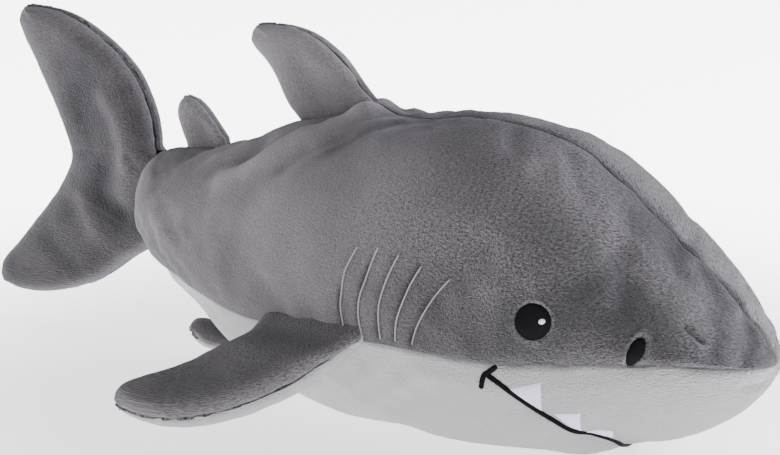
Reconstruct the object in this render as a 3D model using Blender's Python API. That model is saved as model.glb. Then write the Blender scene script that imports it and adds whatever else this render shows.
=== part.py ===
"""A plush shark, lying on its belly.

The body is sewn from a left and a right back panel and one belly panel, around loose fibre filling. Each of
its seven fins is two fabric panels around filling of its own, sewn on along one straight seam, where it bends.
The eyes, nostrils, mouth, teeth and gills are embroidered. +X points to the snout, +Y to the shark's left and
+Z up, and the belly rests on z = 0. All lengths are in metres and all angles in degrees."""

import math

import bmesh
import bpy
import numpy as np
from mathutils import Vector

# Materials' thicknesses and the clearances between separate pieces
FABRIC = 0.0015
FILLING_GAP = 0.0009
SEAM_GAP = 0.0006
THREAD_LIFT = 0.0003
THREAD_HEIGHT = 0.0010

# The widths of the stitched lines, and how far under a patch a point is surely inside the body
MOUTH_STITCH = 0.0021
GILL_STITCH = 0.0010
INSIDE_DEPTH = 0.02

# The body: its ends, and its profile at nine stations evenly spaced in angle from the tail end to the snout
TAIL_END_X = -0.1052
SNOUT_X = 0.2108
BODY_TOP = (0.098, 0.104, 0.110, 0.127, 0.135, 0.129, 0.096, 0.061, 0.042)
BODY_WIDEST = (0.077, 0.078, 0.070, 0.058, 0.052, 0.049, 0.048, 0.044, 0.042)
BODY_BOTTOM = (0.055, 0.052, 0.030, 0.003, -0.007, -0.005, 0.004, 0.022, 0.042)
BODY_HALF_WIDTH = (0.005, 0.0355, 0.051, 0.0685, 0.078, 0.077, 0.061, 0.031, 0.0)
BELLY_SEAM_ANGLE = (-62, -45, -22, -8, -1, 0, 3, 8, 10)
SNOUT_OPEN = 0.985
UPPER_ROUNDNESS = 2.2
LOWER_ROUNDNESS = 2.4

# Rows and columns of the meshes
BODY_ROWS = 26
BACK_COLUMNS = 8
BELLY_COLUMNS = 10
DORSAL_GRID = (8, 6)
REAR_DORSAL_GRID = (6, 5)
TAIL_GRID = (17, 7)
PECTORAL_GRID = (9, 6)
PELVIC_GRID = (6, 5)
MOUTH_PIECES = 44
SHORT_LINE_PIECES = 7
EYE_CORNERS = 16
NOSTRIL_CORNERS = 14
HIGHLIGHT_CORNERS = 8

# Fins: half the filling's thickness at the middle, and how wide the round edge is
DORSAL_HALF, DORSAL_EDGE = 0.0080, 0.020
REAR_DORSAL_HALF, REAR_DORSAL_EDGE = 0.0050, 0.010
TAIL_HALF, TAIL_EDGE = 0.0090, 0.024
PECTORAL_HALF, PECTORAL_EDGE = 0.0085, 0.020
PELVIC_HALF, PELVIC_EDGE = 0.0045, 0.010
ROOT_CLEARANCE = 0.0028
SIDE_ROOT_CLEARANCE = 0.0036
PECTORAL_DROOP = 35
PELVIC_DROOP = 24

# The seams of the fins: the x of the rear and the front end, and on the tail the lower and the upper z
DORSAL_ROOT = (-0.021, 0.019)
REAR_DORSAL_ROOT = (-0.088, -0.0645)
PECTORAL_ROOT = (0.003, 0.059)
PELVIC_ROOT = (-0.056, -0.034)
PELVIC_ROOT_ANGLE = -66
TAIL_ROOT_X = TAIL_END_X - ROOT_CLEARANCE
TAIL_ROOT_LOW, TAIL_ROOT_HIGH = 0.057, 0.099

# The face's patches. A place is an x and an angle over the body's widest line
EYE = (0.1326, 13.8)
EYE_SIZE = 0.0150
HIGHLIGHT_OFFSET = (0.0036, 0.0010)
HIGHLIGHT_SIZE = 0.0030
NOSTRIL = (0.1710, 11.6)
NOSTRIL_SIZE = (0.0125, 0.0064)
NOSTRIL_TILT = 72
TOOTH_SHARE = 0.94

SIDES = (("left", 1), ("right", -1))

# Each look is a colour and a roughness
GREY_CLOTH = ((0.235, 0.225, 0.250), 0.9)
PALE_CLOTH = ((0.780, 0.770, 0.800), 0.9)
BLACK_THREAD = ((0.012, 0.012, 0.014), 0.5)
WHITE_THREAD = ((0.900, 0.890, 0.930), 0.5)
SILVER_THREAD = ((0.420, 0.400, 0.420), 0.6)
FIBRE = ((0.880, 0.870, 0.840), 1.0)


def clear_scene():
    for obj in list(bpy.data.objects):
        bpy.data.objects.remove(obj)


def plain_material(name, color, roughness):
    """A Principled BSDF material of one colour."""
    made = bpy.data.materials.new(name)
    made.use_nodes = True
    shader = made.node_tree.nodes["Principled BSDF"]
    shader.inputs["Base Color"].default_value = (*color, 1)
    shader.inputs["Roughness"].default_value = roughness
    shader.inputs["Metallic"].default_value = 0
    return made


def spline(values, where):
    """A natural cubic spline through evenly spaced values, read at places from 0 to 1."""
    values = np.asarray(values, float)
    last = len(values) - 1
    system = np.eye(last + 1)
    right = np.zeros_like(values)
    for i in range(1, last):
        system[i, i - 1 : i + 2] = 1, 4, 1
        right[i] = values[i - 1] - 2 * values[i] + values[i + 1]
    bend = np.linalg.solve(system, right)
    place = np.clip(where, 0, 1) * last
    i = np.minimum(place.astype(int), last - 1)
    after = (place - i).reshape(place.shape + (1,) * (values.ndim - 1))
    before = 1 - after
    curved = bend[i] * (before**3 - before) + bend[i + 1] * (after**3 - after)
    return values[i] * before + values[i + 1] * after + curved


# ---- the body's surface ----


def body_x(u):
    """Where along the body a station parameter lies, from 0 at the tail end to 1 at the snout."""
    middle, half = (TAIL_END_X + SNOUT_X) / 2, (SNOUT_X - TAIL_END_X) / 2
    return middle - half * np.cos(np.pi * u)


def body_u(x):
    middle, half = (TAIL_END_X + SNOUT_X) / 2, (SNOUT_X - TAIL_END_X) / 2
    return np.arccos(np.clip((middle - x) / half, -1, 1)) / np.pi


def section(u, around):
    """Points of the section at u. Around is 0 at the left side, 90 at the top and 180 at the right side."""
    cos, sin = np.cos(np.radians(around)), np.sin(np.radians(around))
    power = np.where(sin >= 0, 2 / UPPER_ROUNDNESS, 2 / LOWER_ROUNDNESS)
    widest = spline(BODY_WIDEST, u)
    height = np.where(sin >= 0, spline(BODY_TOP, u) - widest, widest - spline(BODY_BOTTOM, u))
    y = spline(BODY_HALF_WIDTH, u) * np.sign(cos) * np.abs(cos) ** power
    z = widest + height * np.sign(sin) * np.abs(sin) ** power
    return np.stack([body_x(u) + 0 * y, y, z], -1)


def body_normal(u, around):
    """The outward direction, from the slopes along and around the body."""
    step = 0.004
    along = section(np.minimum(u + step, 1), around) - section(np.maximum(u - step, 0), around)
    across = section(u, around + 1.0) - section(u, around - 1.0)
    normal = np.cross(across, along)
    return normal / np.maximum(np.linalg.norm(normal, axis=-1, keepdims=True), 1e-9)


def body_surface(u, around, lift=0.0):
    """Points at a height over the fabric's face, or under it where lift is negative. The underside is flat."""
    u, around = np.broadcast_arrays(np.asarray(u, float), np.asarray(around, float))
    points = section(u, around) + lift * body_normal(u, around)
    points[..., 2] = np.maximum(points[..., 2], -lift)
    return points


def seam_angle(u):
    return spline(BELLY_SEAM_ANGLE, u)


def around_of(angle, side):
    """The angle around the body of a place at an angle over the widest line, on the left (1) or right (-1)."""
    return angle if side > 0 else 180 - angle


# ---- mesh makers ----


def triangles(rows, columns, closed=False):
    """Triangles of a grid of points, all split along the same diagonal."""
    faces = []
    for i in range(rows - 1):
        for j in range(columns if closed else columns - 1):
            k = (j + 1) % columns
            a, b = i * columns + j, i * columns + k
            c, d = a + columns, b + columns
            faces += [(a, b, d), (a, d, c)]
    return faces


def slab_faces(rows, columns):
    """Triangles of a closed slab between two equal grids of points, the first one's points before the other's."""
    count = rows * columns
    top = triangles(rows, columns)
    bottom = [tuple(count + i for i in reversed(face)) for face in top]
    index = np.arange(count).reshape(rows, columns)
    rim = [*index[0], *index[1:, -1], *index[-1, -2::-1], *index[-2:0:-1, 0]]
    walls = []
    for a, b in zip(rim, rim[1:] + rim[:1]):
        walls += [(a, b + count, b), (a, a + count, b + count)]
    return top + bottom + walls


def add_object(name, points, faces, look, origin=(0, 0, 0)):
    points = np.asarray(points).reshape(-1, 3) - np.asarray(origin)
    mesh = bpy.data.meshes.new(name)
    mesh.from_pydata(points.tolist(), [], faces)
    mesh.shade_smooth()
    obj = bpy.data.objects.new(name, mesh)
    obj.location = origin
    mesh.materials.append(plain_material(name, *look))
    bpy.context.scene.collection.objects.link(obj)
    return obj


def cloth(name, points, faces, look, inside, thickness=FABRIC, outward=False, origin=(0, 0, 0)):
    """A sheet given one face, thickened away from or towards the point that is inside it."""
    points = np.asarray(points).reshape(-1, 3)
    corners = points[np.asarray(faces)]
    normals = np.cross(corners[:, 1] - corners[:, 0], corners[:, 2] - corners[:, 0])
    if (normals * (corners.mean(1) - np.asarray(inside))).sum() < 0:
        faces = [face[::-1] for face in faces]
    obj = add_object(name, points, faces, look, origin)
    solid = obj.modifiers.new("thickness", "SOLIDIFY")
    solid.thickness = thickness
    solid.offset = 1 if outward else -1
    return obj


def stuffing(name, points, faces, look, origin=(0, 0, 0)):
    """A closed solid, its faces turned outwards."""
    obj = add_object(name, points, faces, look, origin)
    work = bmesh.new()
    work.from_mesh(obj.data)
    bmesh.ops.recalc_face_normals(work, faces=work.faces)
    work.to_mesh(obj.data)
    work.free()
    return obj


# ---- the body's pieces ----


def body_rows():
    """Stations of the skin's rows, closer together towards the snout's tight curve."""
    return np.linspace(0, 1, BODY_ROWS) ** 0.95 * SNOUT_OPEN


def seam_inset(u):
    """Half a seam's gap, as an angle around the section."""
    size = np.maximum(spline(BODY_HALF_WIDTH, u), 0.004)
    return np.degrees(SEAM_GAP / size)


def panel(name, u, around, look):
    """A body panel: its outer and its inner face, joined around the rim."""
    faces_of = [body_surface(u, around, lift) for lift in (0, -FABRIC)]
    rows, columns = around.shape
    stuffing(name, np.stack(faces_of), slab_faces(rows, columns), look)


def back_panel(name, side):
    u = body_rows()[:, None]
    low, high = seam_angle(u) + seam_inset(u), 90 - seam_inset(u)
    angle = low + (high - low) * np.linspace(0, 1, BACK_COLUMNS + 1)
    panel(name, u, around_of(angle, side), GREY_CLOTH)


def belly_panel():
    u = body_rows()[:, None]
    edge = seam_angle(u) - seam_inset(u)
    around = 180 - edge + (180 + 2 * edge) * np.linspace(0, 1, BELLY_COLUMNS + 1)
    panel("belly_panel", u, around, PALE_CLOTH)


def body_filling():
    """One block of fibre inside the three panels, following their rows."""
    u = body_rows()[:, None]
    seam = seam_angle(u)
    left = seam + (90 - seam) * np.linspace(0, 1, BACK_COLUMNS + 1)
    belly = 180 - seam + (180 + 2 * seam) * np.linspace(0, 1, BELLY_COLUMNS + 1)
    around = np.concatenate([left, 180 - left[:, -2::-1], belly[:, 1:-1]], axis=1)
    points = body_surface(u, around, -FABRIC - FILLING_GAP)
    columns = points.shape[1]
    faces = triangles(BODY_ROWS, columns, closed=True)
    ends = [points[0].mean(0), points[-1].mean(0)]
    first = points.shape[0] * columns
    for k, row in enumerate((0, BODY_ROWS - 1)):
        for j in range(columns):
            faces.append((first + k, row * columns + j, row * columns + (j + 1) % columns))
    stuffing("body_filling", np.concatenate([points.reshape(-1, 3), ends]), faces, FIBRE)


# ---- the fins ----


def distance(points, line):
    """Each point's distance to a chain of straight pieces."""
    start, step = line[:-1], np.diff(line, axis=0)
    along = ((points[..., None, :] - start) * step).sum(-1) / (step**2).sum(-1)
    nearest = start + np.clip(along, 0, 1)[..., None] * step
    return np.linalg.norm(points[..., None, :] - nearest, axis=-1).min(-1)


def rounded(depth, width):
    """The height of a round edge of this width at a depth in from the edge, from 0 to 1."""
    return np.sqrt(1 - (1 - np.clip(depth / width, 0, 1)) ** 2)


class FinPlane:
    """The flat middle of a fin: a corner, its direction forwards along the seam and its direction outwards."""

    def __init__(self, corner, forward, outward):
        self.corner = Vector(corner)
        self.forward = Vector(forward).normalized()
        self.outward = (Vector(outward) - self.forward * self.forward.dot(Vector(outward))).normalized()
        self.side = self.forward.cross(self.outward)

    def place(self, flat, off):
        """Points in space from points in the plane and their distances off it."""
        frame = np.array([self.forward, self.outward, self.side])
        return np.array(self.corner) + np.concatenate([flat, off[..., None]], -1) @ frame


def fin(name, plane, front, back, root, half, edge, looks, rows, columns):
    """A stuffed fin. Front and back are its two outlines, and root is the straight seam along the body."""
    at = (1 - np.cos(np.pi * np.linspace(0, 1, rows))) / 2
    front, back, root = (np.asarray(line, float) for line in (front, back, root))
    across = ((1 - np.cos(np.pi * np.linspace(0, 1, columns))) / 2)[None, :, None]
    flat = spline(front, at)[:, None] * (1 - across) + spline(back, at)[:, None] * across
    outline = np.concatenate([flat[0], flat[1:, -1], flat[-1, -2::-1], flat[-2::-1, 0]])
    swell = np.minimum(rounded(distance(flat, outline), edge), rounded(distance(flat, root), half))
    thick = half * swell
    hinge = root.mean(0) + (0, half)
    if abs(root[0, 1] - root[1, 1]) > abs(root[0, 0] - root[1, 0]):
        hinge = root.mean(0) - (half, 0)
    origin = plane.place(hinge, np.zeros(()))
    middle = plane.place(flat.mean((0, 1)), np.zeros(()))
    faces = triangles(rows, columns)
    for label, side, look in ((looks[0], 1, looks[1]), (looks[2], -1, looks[3])):
        points = plane.place(flat, side * (thick + SEAM_GAP / 2))
        cloth(f"{name}_{label}", points, faces, look, middle, outward=True, origin=origin)
    inner = flat[1:-1, 1:-1]
    depth = np.maximum(thick[1:-1, 1:-1] - FILLING_GAP, SEAM_GAP)
    sheets = np.stack([plane.place(inner, side * depth) for side in (1, -1)])
    stuffing(f"{name}_filling", sheets, slab_faces(rows - 2, columns - 2), FIBRE, origin)


BOTH_GREY = ("left_panel", GREY_CLOTH, "right_panel", GREY_CLOTH)


def upright_root(root_x):
    """The seam of a fin on the back, just clear of it: its rear end, and the way from there to its front end."""
    ends = body_surface(body_u(np.array(root_x)), 90.0)
    ends[:, 2] += ROOT_CLEARANCE
    return ends[0], ends[1] - ends[0]


def dorsal_fin():
    corner, along = upright_root(DORSAL_ROOT)
    plane = FinPlane(corner, along, (0, 0, 1))
    length = np.linalg.norm(along)
    front = [
        (length, 0),
        (0.0348, 0.0088),
        (0.0292, 0.0190),
        (0.0209, 0.0300),
        (0.0086, 0.0393),
        (-0.0080, 0.0454),
    ]
    back = [
        (0, 0),
        (-0.0048, 0.0085),
        (-0.0074, 0.0190),
        (-0.0114, 0.0290),
        (-0.0166, 0.0368),
        (-0.0172, 0.0428),
    ]
    root = [(0, 0), (length, 0)]
    fin("dorsal_fin", plane, front, back, root, DORSAL_HALF, DORSAL_EDGE, BOTH_GREY, *DORSAL_GRID)


def rear_dorsal_fin():
    corner, along = upright_root(REAR_DORSAL_ROOT)
    plane = FinPlane(corner, along, (0, 0, 1))
    length = np.linalg.norm(along)
    front = [(length, 0), (0.0190, 0.0080), (0.0130, 0.0165), (0.0070, 0.0220)]
    back = [(0, 0), (-0.0020, 0.0080), (-0.0020, 0.0155), (0.0010, 0.0212)]
    root = [(0, 0), (length, 0)]
    sizes = REAR_DORSAL_HALF, REAR_DORSAL_EDGE
    fin("rear_dorsal_fin", plane, front, back, root, *sizes, BOTH_GREY, *REAR_DORSAL_GRID)


def tail_fin():
    """The crescent tail. Its front outline runs from the upper tip down the root seam to the lower tip."""
    plane = FinPlane((0, 0, 0), (1, 0, 0), (0, 0, 1))
    front = [
        (-0.1810, 0.1685),
        (-0.1570, 0.1635),
        (-0.1350, 0.1520),
        (-0.1175, 0.1350),
        (TAIL_ROOT_X - 0.0010, 0.1140),
        (TAIL_ROOT_X, TAIL_ROOT_HIGH),
        (TAIL_ROOT_X, (TAIL_ROOT_LOW + TAIL_ROOT_HIGH) / 2),
        (TAIL_ROOT_X, TAIL_ROOT_LOW),
        (-0.1230, 0.0455),
        (-0.1420, 0.0325),
        (-0.1635, 0.0235),
        (-0.1850, 0.0192),
        (-0.2040, 0.0205),
    ]
    back = [
        (-0.1895, 0.1655),
        (-0.1862, 0.1560),
        (-0.1790, 0.1420),
        (-0.1710, 0.1270),
        (-0.1630, 0.1110),
        (-0.1580, 0.0990),
        (-0.1580, 0.0910),
        (-0.1630, 0.0810),
        (-0.1720, 0.0690),
        (-0.1830, 0.0570),
        (-0.1950, 0.0440),
        (-0.2050, 0.0340),
        (-0.2095, 0.0260),
    ]
    root = [(TAIL_ROOT_X, TAIL_ROOT_LOW), (TAIL_ROOT_X, TAIL_ROOT_HIGH)]
    fin("tail_fin", plane, front, back, root, TAIL_HALF, TAIL_EDGE, BOTH_GREY, *TAIL_GRID)


def side_plane(rear, front, side, droop):
    """The plane of a fin on the body's side, which hangs at an angle under level."""
    outward = (0, side * math.cos(math.radians(droop)), -math.sin(math.radians(droop)))
    return FinPlane(rear, front - rear, outward)


def side_looks(side):
    """A side fin is grey above and pale below. Its plane faces down on the right side."""
    top, bottom = ("top_panel", GREY_CLOTH), ("bottom_panel", PALE_CLOTH)
    return (*top, *bottom) if side > 0 else (*bottom, *top)


def pectoral_fin(name, side):
    u = body_u(np.array(PECTORAL_ROOT))
    rear, front = body_surface(u, around_of(seam_angle(u), side), SIDE_ROOT_CLEARANCE)
    plane = side_plane(rear, front, side, PECTORAL_DROOP)
    length = np.linalg.norm(front - rear)
    leading = [
        (length, 0),
        (0.0470, 0.0145),
        (0.0345, 0.0310),
        (0.0150, 0.0465),
        (-0.0105, 0.0572),
        (-0.0415, 0.0596),
    ]
    trailing = [
        (0, 0),
        (-0.0022, 0.0085),
        (-0.0103, 0.0195),
        (-0.0222, 0.0305),
        (-0.0372, 0.0408),
        (-0.0488, 0.0505),
    ]
    root = [(0, 0), (length, 0)]
    sizes = PECTORAL_HALF, PECTORAL_EDGE
    fin(name, plane, leading, trailing, root, *sizes, side_looks(side), *PECTORAL_GRID)


def pelvic_fin(name, side):
    u = body_u(np.array(PELVIC_ROOT))
    rear, front = body_surface(u, around_of(PELVIC_ROOT_ANGLE, side), SIDE_ROOT_CLEARANCE)
    plane = side_plane(rear, front, side, PELVIC_DROOP)
    length = np.linalg.norm(front - rear)
    leading = [(length, 0), (0.0175, 0.0065), (0.0120, 0.0115), (0.0045, 0.0140)]
    trailing = [(0, 0), (-0.0035, 0.0030), (-0.0050, 0.0075), (-0.0030, 0.0120)]
    root = [(0, 0), (length, 0)]
    sizes = PELVIC_HALF, PELVIC_EDGE
    fin(name, plane, leading, trailing, root, *sizes, side_looks(side), *PELVIC_GRID)


# ---- embroidery ----


def tangents(u, around):
    """The body's slopes at a place, and its directions forwards and upwards along the surface."""
    step = 0.002
    along = (section(u + step, around) - section(u - step, around)) / (2 * step)
    across = section(u, around + 0.5) - section(u, around - 0.5)
    forward = along / np.linalg.norm(along)
    up = across - forward * (across @ forward)
    up *= math.copysign(1 / np.linalg.norm(up), up[2])
    return np.stack([along, across], 1), forward, up


def drawn_at(centre, side, drawing, lift):
    """Points of a flat drawing, in metres forwards and upwards, laid on the body around a place."""
    u, around = body_u(centre[0]), around_of(centre[1], side)
    slopes, forward, up = tangents(u, around)
    moves = np.asarray(drawing) @ np.array([forward, up])
    du, turn = np.linalg.lstsq(slopes, moves.T, rcond=None)[0]
    return body_surface(u + du, around + turn, lift)


def embroidered_patch(name, centre, side, outline, look):
    """A raised patch of satin stitch with a star-shaped outline around its centre."""
    outline = np.asarray(outline)
    count = len(outline)
    rings = np.concatenate([outline, outline * 0.5, [(0, 0)]])
    faces = []
    for j in range(count):
        k = (j + 1) % count
        faces += [(j, k, count + k), (j, count + k, count + j), (count + j, count + k, 2 * count)]
    points = drawn_at(centre, side, rings, THREAD_LIFT)
    inside = drawn_at(centre, side, [(0, 0)], -INSIDE_DEPTH)[0]
    cloth(name, points, faces, look, inside, THREAD_HEIGHT, outward=True)


def embroidered_line(name, places, width, look, pieces):
    """A raised line of stitches along a smooth curve through places, each one an x and an angle around."""
    path = spline(np.asarray(places, float), np.linspace(0, 1, pieces + 1))
    u, around = body_u(path[:, 0]), path[:, 1]
    points = body_surface(u, around, THREAD_LIFT)
    normal = body_normal(u, around)
    across = np.cross(np.gradient(points, axis=0), normal)
    across *= (width / 2) / np.linalg.norm(across, axis=1, keepdims=True)
    grid = np.stack([points - across, points, points + across], 1)
    inside = points.mean(0) - INSIDE_DEPTH * normal.mean(0)
    cloth(name, grid, triangles(pieces + 1, 3), look, inside, THREAD_HEIGHT, outward=True)


def ellipse(long, short, tilt, count):
    """An ellipse's outline. Tilt turns its long axis up from forwards."""
    turn = np.arange(count) * 2 * np.pi / count
    flat = np.stack([long / 2 * np.cos(turn), short / 2 * np.sin(turn)], 1)
    cos, sin = math.cos(math.radians(tilt)), math.sin(math.radians(tilt))
    return flat @ np.array([(cos, sin), (-sin, cos)])


def eyes_and_nostrils():
    for name, side in SIDES:
        outline = ellipse(EYE_SIZE, EYE_SIZE, 0, EYE_CORNERS)
        embroidered_patch(f"{name}_eye", EYE, side, outline, BLACK_THREAD)
        outline = ellipse(*NOSTRIL_SIZE, NOSTRIL_TILT, NOSTRIL_CORNERS)
        embroidered_patch(f"{name}_nostril", NOSTRIL, side, outline, BLACK_THREAD)


def eye_highlights():
    """A small white dot over each eye's forward half."""
    count = HIGHLIGHT_CORNERS
    outline = ellipse(HIGHLIGHT_SIZE, HIGHLIGHT_SIZE, 0, count) + HIGHLIGHT_OFFSET
    for name, side in SIDES:
        dot = drawn_at(EYE, side, outline, 0)
        centre = drawn_at(EYE, side, [HIGHLIGHT_OFFSET], 0)[0]
        out = body_normal(body_u(centre[0]), np.asarray(around_of(EYE[1], side)))
        rise = out * (THREAD_LIFT * 2 + THREAD_HEIGHT)
        points = np.concatenate([dot, [centre]]) + rise
        faces = [(j, (j + 1) % count, count) for j in range(count)]
        inside = centre - INSIDE_DEPTH * out
        cloth(f"{name}_eye_highlight", points, faces, WHITE_THREAD, inside, THREAD_HEIGHT, outward=True)


def mouth():
    """One line from cheek to cheek under the chin, and a short curved stroke across each of its ends."""
    half = [
        (0.1174, -4.3),
        (0.1245, -7.9),
        (0.1362, -17.1),
        (0.1432, -24.4),
        (0.1495, -34),
        (0.1558, -44),
        (0.1575, -60),
    ]
    right = [(x, 180 - angle) for x, angle in half]
    left = [(x, 360 + angle) for x, angle in reversed(half)]
    chin = [(0.1520, 270)]
    embroidered_line("mouth_line", right + chin + left, MOUTH_STITCH, BLACK_THREAD, MOUTH_PIECES)
    corner = [(0.1190, -0.2), (0.1150, -2.5), (0.1135, -4.2), (0.1127, -8.4)]
    for name, side in SIDES:
        places = [(x, around_of(angle, side)) for x, angle in corner]
        embroidered_line(f"{name}_mouth_corner", places, MOUTH_STITCH, BLACK_THREAD, SHORT_LINE_PIECES)


def tooth(top_rear, top_front, point):
    """The centre and outline of a tooth from its three corners, each an x and an angle."""
    corners = np.array([top_rear, top_front, point])
    centre = corners.mean(0)
    slopes, forward, up = tangents(body_u(centre[0]), centre[1])
    flat = []
    for x, angle in corners:
        move = slopes @ np.array([body_u(x) - body_u(centre[0]), angle - centre[1]])
        flat.append((move @ forward, move @ up))
    flat = np.array(flat)
    sides = [flat[i] * (1 - t) + flat[(i + 1) % 3] * t for i in range(3) for t in (0, 0.25, 0.5, 0.75)]
    return tuple(centre), np.array(sides) * TOOTH_SHARE


def teeth():
    """Three teeth on each side, their flat edges up and their points on the mouth line."""
    corners = [
        ((0.1262, -6.2), (0.1373, -3.7), (0.1376, -15.4)),
        ((0.1424, -17.0), (0.1515, -16.8), (0.1508, -30.6)),
        ((0.1521, -34.2), (0.1615, -33.7), (0.1606, -45.2)),
    ]
    for number, three in enumerate(corners, 1):
        centre, outline = tooth(*three)
        for name, side in SIDES:
            embroidered_patch(f"{name}_tooth_{number}", centre, side, outline, WHITE_THREAD)


def gills():
    """Five curved lines of thin stitches on each flank, leaning forwards at the top."""
    lines = [
        [(0.0520, 24), (0.0480, 18), (0.0460, 12), (0.0450, 7), (0.0475, 2.5)],
        [(0.0620, 25), (0.0585, 18), (0.0560, 12), (0.0550, 7), (0.0570, 2.5)],
        [(0.0720, 24), (0.0685, 18), (0.0660, 12), (0.0650, 6.5), (0.0661, 1.5)],
        [(0.0830, 22), (0.0790, 16), (0.0760, 11), (0.0740, 6), (0.0735, 1.5)],
        [(0.0960, 20), (0.0905, 15), (0.0865, 10), (0.0830, 6), (0.0814, 1.5)],
    ]
    for number, line in enumerate(lines, 1):
        for name, side in SIDES:
            places = [(x, around_of(angle, side)) for x, angle in line]
            embroidered_line(f"{name}_gill_{number}", places, GILL_STITCH, SILVER_THREAD, SHORT_LINE_PIECES)


def main():
    clear_scene()
    back_panel("left_back_panel", 1)
    back_panel("right_back_panel", -1)
    belly_panel()
    body_filling()
    dorsal_fin()
    rear_dorsal_fin()
    tail_fin()
    for name, side in SIDES:
        pectoral_fin(f"{name}_pectoral_fin", side)
        pelvic_fin(f"{name}_pelvic_fin", side)
    eyes_and_nostrils()
    eye_highlights()
    mouth()
    teeth()
    gills()


main()
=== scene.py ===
"""The looks of the plush shark: stuffed fabric skins, embroidery and fibre filling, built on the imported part.

Each skin follows the same outline as the part's panels. A coarse copy of it is blown up as cloth, and
that movement is laid over a fine mesh that carries the seams, folds and pile. +X points to the snout,
+Y to the shark's left and +Z up. All lengths are in metres, and angles are in degrees."""

import math
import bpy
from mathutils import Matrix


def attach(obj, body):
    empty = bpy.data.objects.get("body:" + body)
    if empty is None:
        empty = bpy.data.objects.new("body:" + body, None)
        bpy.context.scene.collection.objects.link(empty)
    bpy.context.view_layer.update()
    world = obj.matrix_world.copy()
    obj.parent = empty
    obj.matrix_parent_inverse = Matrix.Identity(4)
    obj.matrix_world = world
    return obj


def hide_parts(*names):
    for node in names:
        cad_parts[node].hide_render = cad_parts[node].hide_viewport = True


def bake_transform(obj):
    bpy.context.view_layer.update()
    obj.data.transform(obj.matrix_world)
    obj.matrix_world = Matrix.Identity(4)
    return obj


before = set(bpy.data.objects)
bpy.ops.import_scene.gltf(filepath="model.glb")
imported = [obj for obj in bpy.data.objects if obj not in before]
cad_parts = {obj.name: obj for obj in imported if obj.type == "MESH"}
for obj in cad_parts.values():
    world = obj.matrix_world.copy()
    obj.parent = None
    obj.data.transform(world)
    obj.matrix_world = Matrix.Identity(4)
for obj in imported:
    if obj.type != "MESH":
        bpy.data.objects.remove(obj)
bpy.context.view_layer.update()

from types import SimpleNamespace

import bmesh
import bpy
import numpy as np
from mathutils import Vector

# ---- the driving sizes, as in the part ----

TAIL_END_X = -0.1052
SNOUT_X = 0.2108
BODY_TOP = (0.098, 0.104, 0.110, 0.127, 0.135, 0.129, 0.096, 0.061, 0.042)
BODY_WIDEST = (0.077, 0.078, 0.070, 0.058, 0.052, 0.049, 0.048, 0.044, 0.042)
BODY_BOTTOM = (0.055, 0.052, 0.030, 0.003, -0.007, -0.005, 0.004, 0.022, 0.042)
BODY_HALF_WIDTH = (0.005, 0.0355, 0.051, 0.0685, 0.078, 0.077, 0.061, 0.031, 0.0)
BELLY_SEAM_ANGLE = (-62, -45, -22, -8, -1, 0, 3, 8, 10)
UPPER_ROUNDNESS = 2.2
LOWER_ROUNDNESS = 2.4
EYE = (0.1326, 13.8)
NOSTRIL = (0.1710, 11.6)
HIGHLIGHT_OFFSET = (0.0036, 0.0010)
HIGHLIGHT_SIZE = (0.0028, 0.0022)
EYE_SIZE = 0.0150
NOSTRIL_SIZE = (0.0125, 0.0064)
NOSTRIL_TILT = 72
SIDES = (("left", 1), ("right", -1))
BACKS = {"left_back_skin": 1, "right_back_skin": -1}

# ---- fabric ----

FABRIC = 0.0010
FILLING_DEPTH = 0.0035
SEAM_DEPTH = 0.0013
SEAM_WIDTH = 0.0016
TUCK = (0.0012, 0.0026)
INSIDE_DEPTH = 0.02

# Colours, as the shaders take them
GREY_DARK = (0.012, 0.011, 0.014)
GREY_LIGHT = (0.240, 0.222, 0.240)
# Painted shade for the creases and seams of the grey plush
GREY_CREASE_SHADE = (0.012, 0.011, 0.014)
PALE_DARK = (0.380, 0.374, 0.386)
PALE_LIGHT = (0.560, 0.550, 0.568)
# Painted shade for the creases and seams of the pale plush
PALE_CREASE_SHADE = (0.130, 0.128, 0.132)
BLACK = (0.004, 0.004, 0.005)
WHITE = (0.700, 0.700, 0.860)
SILVER = (0.300, 0.285, 0.295)
FIBRE = (0.880, 0.870, 0.840)


# ---- numbers and curves ----


def spline(values, where):
    """A natural cubic spline through evenly spaced values, read at places from 0 to 1."""
    values = np.asarray(values, float)
    last = len(values) - 1
    system = np.eye(last + 1)
    right = np.zeros_like(values)
    for i in range(1, last):
        system[i, i - 1 : i + 2] = 1, 4, 1
        right[i] = values[i - 1] - 2 * values[i] + values[i + 1]
    bend = np.linalg.solve(system, right)
    place = np.clip(where, 0, 1) * last
    i = np.minimum(place.astype(int), last - 1)
    after = (place - i).reshape(place.shape + (1,) * (values.ndim - 1))
    before = 1 - after
    curved = bend[i] * (before**3 - before) + bend[i + 1] * (after**3 - after)
    return values[i] * before + values[i + 1] * after + curved


def sampled(grid, row, column):
    """A grid's values at places between its points, from 0 to 1 each way, by smooth cubic pieces."""
    rows, columns = grid.shape[:2]
    at_row, at_column = np.clip(row, 0, 1) * (rows - 1), np.clip(column, 0, 1) * (columns - 1)
    i, j = np.floor(at_row).astype(int), np.floor(at_column).astype(int)

    def weights(t):
        return {
            -1: (-t + 2 * t**2 - t**3) / 2,
            0: (2 - 5 * t**2 + 3 * t**3) / 2,
            1: (t + 4 * t**2 - 3 * t**3) / 2,
            2: (t**3 - t**2) / 2,
        }

    total = 0
    for a, across in weights(at_row - i).items():
        for b, along in weights(at_column - j).items():
            here = grid[np.clip(i + a, 0, rows - 1), np.clip(j + b, 0, columns - 1)]
            total = total + (across * along)[..., None] * here
    return total


RANDOM_TABLE = np.random.default_rng(11).uniform(-1, 1, (32, 32, 32))


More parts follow.
